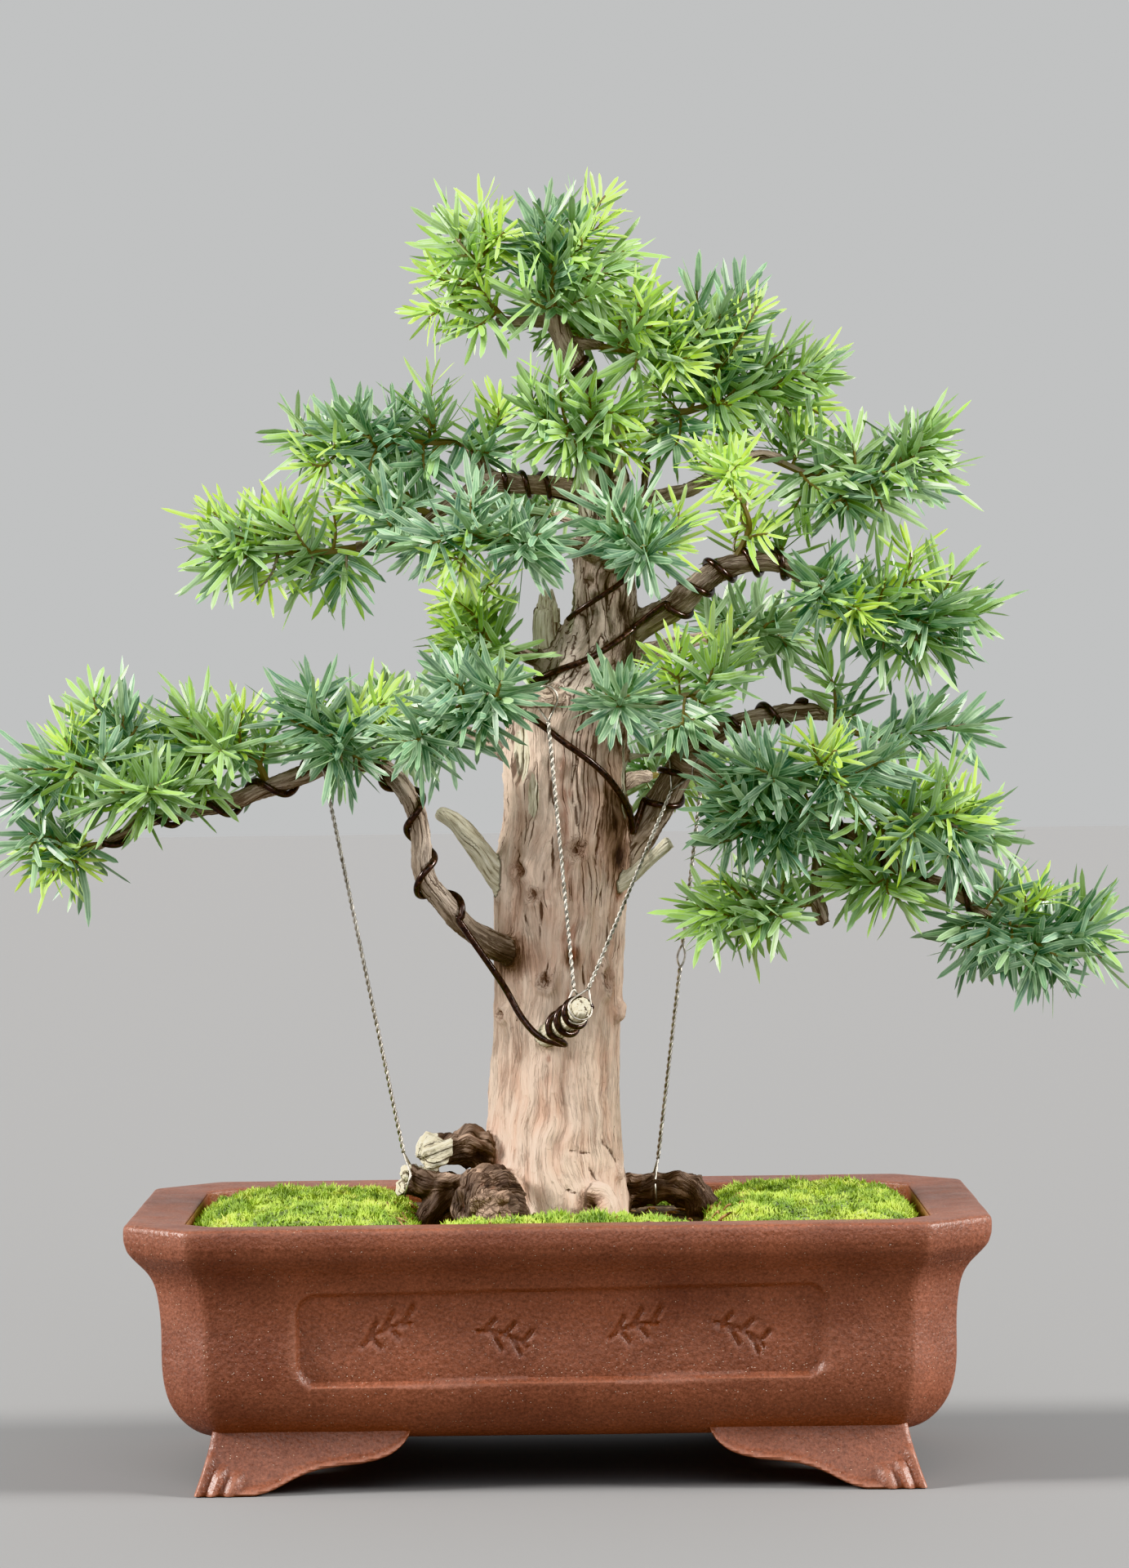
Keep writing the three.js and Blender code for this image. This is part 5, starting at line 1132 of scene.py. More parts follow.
def fold_depth(points):
    """Depth of the folds: depth x bell of the distance from each line, fading out at its ends."""
    bent = points + (2.5 * noise(points / 15, 93))[:, None] * (1, 0, 0)
    depth = np.zeros(len(points))
    for start, end, half, deep in FOLDS:
        off, share = off_line(bent, (start, end))
        bell = np.exp(-((off / half) ** 2)) * np.sqrt(np.clip(np.sin(np.pi * (0.03 + 0.94 * share)), 0, 1))
        depth = np.where(points[:, 1] < 2, np.maximum(depth, deep * bell), depth)
    return depth


def is_one_of(owner, *names):
    """Which points belong to the limbs of these names."""
    return np.isin(owner, [WOOD_NAMES.index(name) for name in names])


def kinds_of_wood(owner):
    """Which points lie on the trunk or its swollen foot, which on bare stubs and which on roots."""
    return (is_one_of(owner, *SWOLLEN_FOOT), is_one_of(owner, *STUBS),
            is_one_of(owner, *(name for name in ROOTS if name not in SWOLLEN_FOOT)))


def bare_patches(points):
    """How bare the trunk is, from 0 to 1: hills round its marks, cut off below and above."""
    return np.clip(2.2 * spots(points, BARE_MARKS) - 0.5, 0, 1)


def wood_relief(points, owner, along, angle, radius):
    """How far each point of the wood is raised, with the marks that go with it: a value that passes 0 along
    its cracks, the place across the limb, and the distances from the nearest knot and drawn crack. Flutes
    and fibres are noise stretched along the limb; cracks are thin lines where such noise crosses zero."""
    trunk, stub, root = kinds_of_wood(owner)
    across, knot = round_knots(points, angle * radius)
    across = across + 2.2 * noise(points / 15, 93)
    turn = across / radius
    ring = np.stack([np.cos(turn) * radius, np.sin(turn) * radius], 1)
    warp = 0.3 * noise(points / 11, 3)[:, None]

    def stretched(wide, long):
        return np.column_stack([ring / wide, along / long]) + (owner * 17.3)[:, None]

    def by_kind(on_trunk_wood, on_root, elsewhere):
        return np.where(trunk, on_trunk_wood, np.where(root, on_root, elsewhere))

    flute = rough(stretched(8.0, 60) + warp, 2, 23)
    fibre = rough(stretched(1.9, 17) + warp, 2, 29)
    lump = rough(points / 7.5, 2, 37)
    upper = np.clip((points[:, 2] - 190) / 60, 0, 1)
    step = 2.6 * noise(stretched(5.5, 26) + warp, 43)
    scale = (step - np.floor(step)) ** 2
    raised = by_kind(0.75 + 0.35 * upper, 0.9, 0.35) * flute
    raised += np.where(stub, 0.1, by_kind(0.24 + 0.16 * upper, 0.2, 0.2)) * fibre
    raised += by_kind(0.18, 1.9, 0.28) * lump
    raised += np.where(root, 1.3 - 3.2 * np.abs(noise(points / (6, 6, 8), 97)), 0)
    raised += np.where(stub, 0.1, by_kind(0.15 + 0.3 * upper, 0.3, 0.3)) * (scale - 0.3)
    # Cracks only where the bark is old: high on the trunk, on its right and on the roots
    line = noise(stretched(2.8, 95) + 0.5 * warp, 11) + 0.12 * noise(stretched(1.4, 12), 13)
    right = np.clip(points[:, 0] / 25, 0, 1)
    where = noise(points / 16, 47) + by_kind(1.1 * upper + 0.5 * right - 0.75, 0.5, 0.1)
    weight = np.clip(2.2 * where, 0, 1) * np.where(stub, 0.4, 1)
    raised -= DEPTHS["crack"] * weight * np.clip(1 - np.abs(line) / 0.16, 0, 1)
    crack = line / np.maximum(weight, 0.02)
    split = np.where(trunk, from_cracks(points), FAR)
    raised -= DEPTHS["drawn crack"] * np.clip(1 - split / 1.3, 0, 1)
    # A swollen collar round a hole at each knot, the folds, the dark hollow low down and the bare scars
    collar = np.exp(-(((knot - 0.95) / 0.4) ** 2)) * (1 + 0.9 * noise(points / 4, 95))
    knots = DEPTHS["collar"] * collar - DEPTHS["hole"] * np.exp(-((knot / 0.5) ** 2))
    raised += np.where(trunk, knots - DEPTHS["fold"] * fold_depth(points), 0)
    raised -= DEPTHS["hollow"] * spots(points, [HOLLOW]) ** 2
    scar = np.where(trunk, bare_patches(points), 0)
    raised -= DEPTHS["scar"] * scar - DEPTHS["scar lip"] * np.exp(-(((scar - 0.15) / 0.12) ** 2))
    return raised, {"crack": crack, "across": across, "knot": knot, "split": split}


def torn_fibres(finish, draw):
    """Splinters on broken limbs: thin spikes along the limb's way, each a tapered tube rooted inside it."""
    made = []
    for name in TORN:
        path = limb_path(name)
        end, way, radius = path[-1, :3], unit(path[-1, :3] - path[-4, :3]), path[-1, 3]
        side = unit(np.cross(way, (0.3, 1.0, 0.2)))
        third = np.cross(way, side)
        for turn in np.linspace(0, 6 * np.pi, 27)[:-1]:
            off = radius * draw.uniform(0.25, 1.0) * (math.cos(turn) * side + math.sin(turn) * third)
            long = radius * draw.uniform(0.1, 1.7)
            row = end + off + np.array([[-5.0], [0.4 * long], [long]]) * way
            row[2] += draw.normal(size=3) * 0.5
            made.append(tube(row, np.array([1.1, 0.9, 0.25]), SIDES["twig"]))
    points, faces = joined(made)
    values = {name: np.full(len(points), value) for name, value in
              (("bare", 1.0), ("shade", 0.5), ("knot", FAR), ("crack", FAR), ("split", FAR))}
    piece = fill_mesh("torn_fibres", points, faces, smooth=False, grain=points * METRE, **values)
    return place(piece, finish, "bark")


def bark_tones(points, outward, owner, along, angle, radius, end):
    """The wood's tones: its shade from pale to dark, how red and how grey it is, and how bare. The shade
    holds the bark's own tones and painted light and shade: painted shade in the hollow, folds and crevices,
    painted shadow of the crown high on the trunk and painted light on the tops of the roots. `end` marks the
    points at the end of a limb."""
    trunk, stub, root = kinds_of_wood(owner)
    streak = noise(np.column_stack([np.cos(angle) * radius / 5, np.sin(angle) * radius / 5, along / 45]), 61)
    height = points[:, 2] - LIFT
    right = np.clip(points[:, 0] / 26, -0.4, 1)
    upper = np.clip((height - 205) / 60, 0, 1)
    # High on the trunk the right side is darker and the left paler: partly the bark's own weathered tones,
    # partly painted shadow of the crown on the right side
    lower_shade = 0.06 + 0.01 * np.clip((height - 130) / 60, 0, 1) + upper * (0.24 * right - 0.02)
    shade = np.where(trunk, lower_shade, np.where(root, 0.97, 0.44))
    shade = np.clip(shade + 0.16 * streak + 0.12 * noise(points / 9, 67), 0, 1)
    # Painted shadow of the crown over the top of the trunk, above 334 mm, and a little paler again high on
    # the left
    shade += np.where(trunk, 0.35 * np.clip((height - 334) / 18, 0, 1) - 0.1 * upper * (right < 0.3), 0)
    # Painted shade: darkest at those marks, and darker down the folds
    shade = np.maximum(shade, spots(points, DARK_SPOTS_AND_PAINTED_SHADE)) + 0.12 * np.where(trunk, fold_depth(points), 0)
    # Roots are paler in random patches, and paler still where they face up: painted light on their tops
    lightened = 0.4 * np.clip(noise(points / 6, 69), 0, 1) + 0.12 * (outward[:, 2] > 0.5)
    shade = np.where(root, shade - lightened, shade)
    sawn = is_one_of(owner, "root_sawn")
    shade = np.where(sawn & end, 0.66 + 0.14 * noise(points / 3, 75), shade)
    red = np.clip(0.8 * spots(points, RED_MARKS) + 0.35 * noise(points / 5, 71) - 0.06, 0, 0.8)
    red = np.where(trunk, red, np.where(root, np.clip(0.5 * noise(points / 6, 73), 0, 0.4), 0))
    trunk_grey = 0.2 * upper + 0.75 * np.clip((height - 262) / 40, 0, 1)
    grey = np.where(trunk, trunk_grey, np.where(root, 0.25, 0.85))
    grey = np.clip(grey + np.where(trunk, 0.5, 0.2) * noise(points / 17, 79) + 0.05, 0, 1)
    # The end of the top root is stripped further back than the others
    length = walked(limb_path("root_top"))[-1]
    long_end = is_one_of(owner, "root_top") & (along > length - 9 + 6 * noise(points / 4, 55))
    bare = np.maximum.reduce([
        stub * np.where(is_one_of(owner, *TORN), 0.55, 1.0), bare_patches(points),
        (is_one_of(owner, *CUT_ROOTS) & end) * np.where(sawn, 0.1, 0.95), long_end * 0.9,
        (is_one_of(owner, "leader") & end) * 0.8])
    return {"shade": np.clip(shade, 0, 1), "red": red, "grey": grey, "bare": bare}


def wood_mesh(levels):
    """The woody plant as one skin: every limb lofted, fused into one surface with a cell of about a
    millimetre, its joints eased by averaging neighbours, then bark raised and cut along its normals."""
    rings, _, _ = trunk_rings()
    parts = [(rings.reshape(-1, 3), ring_faces(len(rings), rings.shape[1]))]
    for name in LIMBS:
        path = limb_path(name)
        swell = 1 + (0.16 if name in ROOTS else 0.08) * noise(path[:, :3] / 8, 41)
        parts.append(tube(path[:, :3], path[:, 3] * swell, SIDES["limb"]))
    parts += [ball(at(row[:3]), row[3]) for row in KNOBS]
    wood = fill_mesh("old_wood", *joined(parts))
    points, _ = fused(wood, levels.wood_cell, rounds=5)
    mesh = wood.data
    set_points(mesh, points)
    outward = points_of(mesh, "normal")
    owner, along, angle, radius, reach = near_limbs(points)
    raised, marks = wood_relief(points, owner, along, angle, radius)
    lengths = np.array([1e9] + [walked(limb_path(name))[-1] for name in LIMBS])
    end = along > lengths[owner] - 2.0
    raised += np.where(is_one_of(owner, *TORN, *CUT_ROOTS) & end, 1.5 * noise(points / 2.6, 53), 0)
    raised = np.where(points[:, 2] < SOIL_TOP - 4, 0, raised)
    set_points(mesh, points + outward * raised[:, None])
    mesh.shade_smooth()
    # The front stub's sawn face is split across its middle
    across_face = 1.5 * np.abs(np.sin(angle - 0.5)) * reach + 0.1
    split = np.where(is_one_of(owner, "front_stub") & end, across_face, marks["split"])
    turn = marks["across"] / radius
    grain = np.column_stack([np.cos(turn) * reach, np.sin(turn) * reach, along + 61 * owner])
    tones = bark_tones(points, outward, owner, along, angle, radius, end)
    store_values(mesh, {"crack": marks["crack"], "knot": marks["knot"], "split": split,
                        "grain": grain * METRE, **tones})
    return wood


# Wires


def along_limb(name, share):
    """Centre, way and radius at a share of a limb's length."""
    path = limb_path(name)
    distance = walked(path)
    rows = np.column_stack([path[:, :3], unit(np.gradient(path[:, :3], axis=0)), path[:, 3]])
    found = np.stack([np.interp(share, distance / distance[-1], column) for column in rows.T], -1)
    return found[..., :3], unit(found[..., 3:6]), found[..., 6]


def coil(name, start, end, turns, first, radius):
    """A wire wound on a limb: centre + (limb radius + wire radius) x (cos a x top + sin a x side)."""
    share = np.linspace(start, end, int(turns * COIL_STEPS) + 1)
    centre, way, limb_radius = along_limb(name, share)
    up = np.where(np.abs(way[:, 1:2]) > 0.8, [[0.0, 0.0, 1.0]], [[0.0, 1.0, 0.0]])
    side = unit(np.cross(way, up))
    top = np.cross(side, way)
    angle = math.radians(first) + 2 * np.pi * turns * np.linspace(0, 1, len(share))[:, None]
    distance = (limb_radius + 0.8 * radius)[:, None]
    return centre + distance * (np.cos(angle) * top + np.sin(angle) * side)


def on_trunk(rows, distance):
    """Points off the bark at heights and turns from the front, in degrees."""
    rows = np.asarray(rows, float)
    table = np.asarray(TRUNK, float)
    left, right = (np.interp(rows[:, 0], table[:, 0], table[:, k]) for k in (1, 2))
    centre = (left + right) / 2
    half = (right - left) / 2
    angle = np.radians(rows[:, 1])
    return np.stack([centre + (half + distance) * np.sin(angle),
                     -(half * TRUNK_DEPTH + distance) * np.cos(angle), rows[:, 0] + LIFT], 1)


def wire_path(radius, runs):
    """The runs of a training wire, joined and evened out."""
    pieces = []
    for run in runs:
        if "free" in run:
            pieces.append(at(run["free"]))
        elif "trunk" in run:
            pieces.append(on_trunk(smooth_rows(run["trunk"], 4), radius + 0.7))
        else:
            pieces.append(coil(run["coil"], run["start"], run["end"], run["turns"], run["first"], radius))
    return even_rows(smooth_rows(np.vstack(pieces), 3), STEP["wire"])


def guy_parts(upper, lower, eye=None):
    """A guy wire: two strands twisted about the line between two rings, each then opening into a loop.
    A strand is centre + radius x (cos t x side + sin t x third), t growing with the distance along. An eye,
    given as a share of the way down, is where t stands still and the radius swells."""
    rings = [along_limb(*end) for end in (upper, lower)]
    way = unit(rings[0][0] - rings[1][0])
    forks = [centre + sign * way * (FORK_SHARE * radius + FORK_MORE)
             for sign, (centre, _, radius) in zip((-1, 1), rings)]
    line = even_rows(np.stack(forks), STEP["strand"])
    _, side, third = frames(line)
    long = np.linalg.norm(forks[0] - forks[1])
    share = np.linspace(0, 1, len(line))
    parted = np.exp(-(((share - eye) * long / EYE_HALF) ** 2)) if eye else 0 * share
    turn = 2 * np.pi * np.cumsum(1 - np.minimum(1.4 * parted, 1)) * long / len(line) / TWIST_PITCH
    lay_radius = (STRAND_RADIUS * (1 + 2.4 * parted))[:, None]
    parts = []
    for phase in (0, np.pi):
        lay = np.cos(turn + phase)[:, None] * side + np.sin(turn + phase)[:, None] * third
        parts.append(tube(line + lay_radius * lay, STRAND_RADIUS, SIDES["strand"]))
    for fork, sign, (centre, axis, radius) in zip(forks, (-1, 1), rings):
        towards = unit(way * sign - axis * (way * sign @ axis))
        across = np.cross(towards, axis)
        angle = np.radians(np.linspace(*LOOP_TURN, 22))[:, None]
        reach = radius + STRAND_RADIUS + LOOP_SLACK
        loop = centre + reach * (np.cos(angle) * towards + np.sin(angle) * across)
        loop = even_rows(np.vstack([fork, loop, fork]), STEP["wire"])
        parts.append(tube(loop, STRAND_RADIUS, SIDES["strand"]))
    return parts


# Leaves

# One leaf: share of its length, half width and half thickness as shares of the full ones
LEAF_ROWS = np.array([(0.0, 0.35, 1.0), (0.1, 0.88, 1.0), (0.5, 1.0, 0.9), (0.86, 0.76, 0.7)])
LEAF_CORNERS = 17
LEAF_THICKNESS = 0.42
NEW_LEAF, GROWN_LEAF = (15.0, 1.8), (18.6, 2.5)  # length and width
GOLDEN_ANGLE = math.radians(137.5)  # turn round a shoot from one leaf to the next
STEM_TIP = 18.0  # this much of a stem's end carries leaves
SIDE_SHOOTS = (12, 10)  # lengths of side shoots, on a stem and on a shoot
STEM_RADII, SHOOT_RADII = (1.5, 0.7), (0.75, 0.4)


def leaves(roots, heading, face, bend, length, width):
    """Slim flat leaves: root + length x (s x heading + s squared x bend), and round that line a section
    with a margin on each side and a rib above and below. Also returns for each corner how near it is to
    the margin and to the underside."""
    across = unit(np.cross(face, heading))
    face = np.cross(heading, across)
    corner_w = np.array([1.0, 0.0, -1.0, 0.0])
    corner_t = np.array([0.0, 1.0, 0.0, -1.0])
    s = np.append(np.repeat(LEAF_ROWS[:, 0], 4), 1.0)[None, :, None]
    w = np.append((LEAF_ROWS[:, 1:2] * corner_w).ravel(), 0.0)[None, :, None]
    t = np.append((LEAF_ROWS[:, 2:3] * corner_t).ravel(), 0.0)[None, :, None]
    length, width = length[:, None, None], width[:, None, None]
    points = (roots[:, None] + length * (s * heading[:, None] + s * s * bend[:, None])
              + w * width / 2 * across[:, None] + t * LEAF_THICKNESS / 2 * face[:, None])
    quads = np.array([(4 * r + k, 4 * r + (k + 1) % 4, 4 * r + 4 + (k + 1) % 4, 4 * r + 4 + k)
                      for r in range(3) for k in range(4)])
    tips = np.array([(12 + k, 12 + (k + 1) % 4, 16) for k in range(4)])
    base = np.array([(3, 2, 1, 0)])
    first = LEAF_CORNERS * np.arange(len(roots))[:, None, None]
    faces = [(f[None] + first).reshape(-1, f.shape[1]) for f in (quads, tips, base)]
    rim = np.tile(np.append(np.tile(np.abs(corner_w), 4), 0.6), len(roots))
    under = np.tile(np.append(np.tile(0.5 - 0.5 * corner_t, 4), 0.5), len(roots))
    return points.reshape(-1, 3), faces, rim, under


def bowed(start, end, bow, count=6):
    """A curve between two places: start + t x (end - start) + 4t(1 - t) x bow."""
    t = np.linspace(0, 1, count)[:, None]
    return start + t * (end - start) + 4 * t * (1 - t) * bow


def shoot_leaves(path, age, flat, facing, draw, spacing):
    """Leaves of one shoot, as the arrays that `leaves` takes and their ages. They stand by the golden angle
    round it, pressed by `flat` into the two ranks of a comb that looks to `facing`; they open wide near
    its root and close towards its tip, where they are shorter and newer."""
    distance = walked(path)
    reach = distance[-1]
    count = int(max(10, (reach + 5) / spacing))
    share = np.clip((np.arange(count) + draw.uniform(-0.35, 0.35, count)) / (count - 1), 0.04, 1)
    roots = np.stack([np.interp(share * reach, distance, c) for c in path.T], 1)
    way = unit(np.stack([np.interp(share * reach, distance, c) for c in np.gradient(path, axis=0).T], 1))
    side = unit(np.cross(way, facing))
    third = np.cross(side, way)
    phi = (GOLDEN_ANGLE * np.arange(count) + draw.uniform(0, 6) + draw.uniform(-0.3, 0.3, count))[:, None]
    out = unit(np.cos(phi) * side + (1 - flat) * np.sin(phi) * third + 0.01 * third)
    lean = np.interp(share, [0, 0.55, 0.88, 1], [72, 58, 40, 12]) + draw.uniform(-9, 9, count)
    lean = np.radians(lean)[:, None]
    heading = np.cos(lean) * way + np.sin(lean) * out
    upper = np.sin(lean) * way - np.cos(lean) * out
    face = unit(1.2 * flat * third + (1 - flat) * upper + 0.3 * draw.normal(size=(count, 3)))
    bend = draw.uniform(-0.12, 0.32, (count, 1)) * way - draw.uniform(-0.14, 0.28, (count, 1)) * face
    full_length, full_width = NEW_LEAF if age > 0.75 else GROWN_LEAF
    length = full_length * draw.uniform(0.8, 1.14, count)
    length *= np.interp(share, [0, 0.15, 0.75, 1], [0.75, 1, 1, 0.62])
    width = full_width * draw.uniform(0.86, 1.16, count)
    ages = np.clip(age + 0.3 * (share - 0.45) + draw.uniform(-0.07, 0.07, count), 0, 1)
    return roots + 0.3 * out, heading, face, bend, length, width, ages


def side_shoots(path, age, front, draw, step, length):
    """Side shoots by turns left and right along a path, a step apart, shorter towards its tip. Each is
    returned as its own curve, its age, how flat its comb is and where the comb looks."""
    distance = walked(path)
    rows = np.column_stack([path, unit(np.gradient(path, axis=0))])
    made = []
    for number, away in enumerate(np.arange(draw.uniform(0.3, 0.9) * step, distance[-1] * 0.9, step)):
        found = np.array([np.interp(away, distance, column) for column in rows.T])
        root, here = found[:3], unit(found[3:])
        facing = comb_facing(front, draw)
        side = unit(np.cross(here, facing)) * (1 if number % 2 else -1)
        turn = unit(0.75 * here + 0.8 * side + draw.uniform(-0.3, 0.55) * facing
                    + 0.2 * draw.normal(size=3) + (0, 0, 0.15))
        end = root + turn * length * draw.uniform(0.75, 1.25) * (1 - 0.35 * away / distance[-1])
        curve = bowed(root, end, draw.normal(size=3) * 0.9)
        made.append((curve, age + draw.uniform(-0.16, 0.14), draw.uniform(0.35, 0.95), facing))
    return made


def comb_facing(front, draw):
    """The direction that a comb of leaves looks to: between up and the near side, with some chance in it."""
    return unit(np.array([0, 0.6 * front, 0.6]) + draw.normal(size=3) * 0.45)


def spray_piece(name, finish, levels, seed):
    """One leafy spray: twigs as thin tapered tubes, and the leaves of its stem, shoots and side shoots."""
    stem, shoots, more, letters = SPRAYS[name]
    draw = np.random.default_rng(seed)
    path = even_rows(smooth_rows(at(stem), 6), STEP["stem"])
    front = 1 if path[:, 1].mean() > 25 else -1
    stem_age = TINT[letters[0]]
    tip_rows = max(3, int(round(STEM_TIP / STEP["stem"])))
    shoots_made = [(path[-tip_rows:], stem_age, draw.uniform(0.3, 0.7), comb_facing(front, draw))]
    apart = SPARSE.get(name, 1)
    fill = side_shoots(path, stem_age, front, draw, levels.stem_step * apart, SIDE_SHOOTS[0])
    spine = path
    for number, (row, letter) in enumerate(zip([*shoots, *more], letters[1:])):
        start, end = at(np.reshape(row, (2, 3)))
        start = spine[np.linalg.norm(spine - start, axis=1).argmin()]
        to_viewer = abs((end - start)[1]) > 0.7 * np.linalg.norm(end - start)
        curve = bowed(start, end, draw.normal(size=3) * 1.2)
        spine = np.vstack([spine, curve])
        flat = 0.0 if to_viewer else draw.uniform(0.3, 0.85)
        shoots_made.append((curve, TINT[letter], flat, comb_facing(front, draw)))
        if number < len(shoots):
            step = levels.shoot_step * apart
            fill += side_shoots(curve, TINT[letter], front, draw, step, SIDE_SHOOTS[1])
    shoots_made += fill
    gathered, twigs = [], [(path, np.linspace(*STEM_RADII, len(path)))]
    for curve, age, flat, facing in shoots_made:
        twigs.append((curve, np.linspace(*SHOOT_RADII, len(curve))))
        gathered.append(shoot_leaves(curve, age, flat, facing, draw, levels.leaf_spacing))
    columns = [np.concatenate(c) for c in zip(*gathered)]
    points, faces, rim, under = leaves(*columns[:6])
    tubes = joined([tube(curve, radii, SIDES["twig"]) for curve, radii in twigs])
    count = len(tubes[0])
    all_points, all_faces = joined([(points, faces), tubes])
    vary = np.repeat(draw.uniform(0, 1, len(columns[0])), LEAF_CORNERS)
    values = {
        "age": np.append(np.repeat(columns[6], LEAF_CORNERS), np.zeros(count)),
        "rim": np.append(rim, np.zeros(count)),
        "under": np.append(under, np.zeros(count)),
        "vary": np.append(vary, np.full(count, 0.5)),
        "twig": np.append(np.zeros(len(points)), np.ones(count)),
    }
    piece = fill_mesh("leaves_" + name, all_points, all_faces, smooth=False, **values)
    return place(piece, finish, "needles", "spray_" + name)


# Ground


def moss_lumps(flat):
    """Height of the moss as a share of its full height: mounds some 14 mm wide with creases between them."""
    mound = 1 - 1.6 * np.abs(noise(flat / 11, 81))
    return 0.55 + 0.5 * mound + 0.2 * noise(flat / 4, 83)


def cushion(x, y, half_x, half_y, height):
    """A moss cushion: a plan of rounded-rectangular rings that shrink as they rise, with soft lumps and a
    wavy edge that stays straight on the side of the pot's wall. Rings go from the edge to the middle."""
    level = np.linspace(0, 1, MOSS_RINGS)[::-1, None]
    angle = 2 * np.pi * (np.arange(MOSS_SIDES) + 0.5) / MOSS_SIDES
    plan = np.stack([np.cos(angle), np.sin(angle)])
    edge = np.stack([2.4 * plan[0], 2.4 * plan[1], x / 30 + 0 * angle], -1)
    inner = 1 - np.clip(np.sign(x) * plan[0] * 1.6, 0, 1)
    bays = 0.11 * inner * np.clip(0.35 + noise(edge, 85), 0, 1)
    share = level * (1 - bays - 0.02 * np.abs(noise(5 * edge, 86)))
    px, py = (middle + half * share * np.sign(round_) * np.sqrt(np.abs(round_))
              for middle, half, round_ in ((x, half_x, plan[0]), (y, half_y, plan[1])))
    flat = np.stack([px, py, 0 * px], -1).reshape(-1, 3)
    rise = height * np.clip(1 - level**5, 0, 1) * moss_lumps(flat).reshape(px.shape)
    pz = GROUND + rise + 0.2
    pz[0] = GROUND
    return np.stack([px, py, pz], -1)


def tufts(points, many, draw, size):
    """Little three-sided spikes spread evenly over a surface, leaning out at random: root, root + width, tip.
    Each stands on a random place of a ring's strip, and strips are drawn by their share of the area."""
    low, high = points[:-1], points[1:]
    rise = np.linalg.norm(high - low, axis=2)
    area = np.linalg.norm(np.roll(low, -1, 1) - low, axis=2) * rise
    area += 0.5 * np.linalg.norm(np.roll(high, -1, 1) - high, axis=2) * rise
    pick = draw.choice(area.size, many, p=(area / area.sum()).ravel())
    r, a = np.divmod(pick, area.shape[1])
    u, v = draw.uniform(0, 1, (2, many, 1))
    after = (a + 1) % area.shape[1]
    root = (1 - v) * ((1 - u) * low[r, a] + u * low[r, after])
    root += v * ((1 - u) * high[r, a] + u * high[r, after])
    lean = unit(draw.normal(0, 0.5, root.shape) + (0, 0, 1))
    side = unit(np.cross(lean, draw.normal(size=root.shape)))
    third = np.cross(lean, side)
    width = size * 0.26
    clumps = 1 + 0.9 * np.clip(noise(root / 8, 87), -0.4, 1)[:, None]
    tall = size * draw.uniform(0.5, 1.2, (many, 1)) * clumps
    # Longer shoots in front of the trunk
    tall *= 1 + 0.9 * np.exp(-(((root[:, :1] - 8) / 16) ** 2) - ((root[:, 1:2] + 54) / 12) ** 2)
    base = [root + width * (math.cos(t) * side + math.sin(t) * third) - 0.4 * lean for t in (0, 2.1, 4.2)]
    made = np.stack([*base, root + lean * tall], 1)
    first = 4 * np.arange(many)[:, None, None]
    faces = (np.array([(0, 1, 3), (1, 2, 3), (2, 0, 3), (0, 2, 1)])[None] + first).reshape(-1, 3)
    # Foot corners are stored low and tips high, so that the moss finish paints shade at the feet of the
    # spikes
    tip = np.tile([0.25, 0.25, 0.25, 1.0], many)
    return made.reshape(-1, 3), faces, tip


def moss_piece(name, finish, levels, seed):
    """A cushion with its spikes, as one piece."""
    surface = cushion(*MOSS[name])
    body = (surface.reshape(-1, 3), ring_faces(len(surface), surface.shape[1]))
    many = int(MOSS[name][2] * MOSS[name][3] * 4 * levels.moss_density)
    spikes, faces, tip = tufts(surface, many, np.random.default_rng(seed), levels.moss_length / METRE)
    points, all_faces = joined([body, (spikes, [faces])])
    # The cushion under the spikes is stored lowest, so that the finish paints it darkest, as shade
    tips = np.append(np.full(len(body[0]), 0.15), tip)
    piece = fill_mesh("tufted_" + name, points, all_faces, smooth=False, tip=tips)
    return place(piece, finish, "moss", name)


def litter_piece(finish, seed):
    """Dead needles and chips of bark lying about the roots: short thin tapered tubes, each a bent line of
    four points that follows the ground."""
    draw = np.random.default_rng(seed)
    parts = []
    for _ in range(LITTER_COUNT):
        turn, away = draw.uniform(0, 2 * np.pi), draw.uniform(0.55, 1.5)
        x, y = 48 * away * math.cos(turn), -14 + 40 * away * math.sin(turn)
        way = draw.uniform(0, np.pi)
        long, thick = draw.uniform(2.5, 8), draw.uniform(0.25, 0.6)
        s = np.linspace(-0.5, 0.5, 4)[:, None]
        line = (np.array([[x, y, 0]]) + s * long * np.array([[math.cos(way), math.sin(way), 0]])
                + (0.25 - s * s) * long * draw.normal(size=3) * 0.4)
        line[:, 2] = ground_height(line) + thick + np.abs(line[:, 2])
        parts.append(tube(line, thick * np.array([0.5, 1, 0.9, 0.4]), SIDES["twig"]))
    piece = fill_mesh("ground_litter", *joined(parts), smooth=False)
    return place(piece, finish, "soil")


def ground_height(points):
    """Height of the moss or bare soil under places: the cushion's height faded out towards its edge."""
    height = np.full(len(points), GROUND)
    flat = np.column_stack([points[:, :2], np.zeros(len(points))])
    for x, y, half_x, half_y, rise in MOSS.values():
        share = np.clip(((points[:, 0] - x) / half_x) ** 4 + ((points[:, 1] - y) / half_y) ** 4, 0, 1)
        height = np.maximum(height, GROUND + rise * (1 - share**1.25) * moss_lumps(flat))
    return height


# Settings

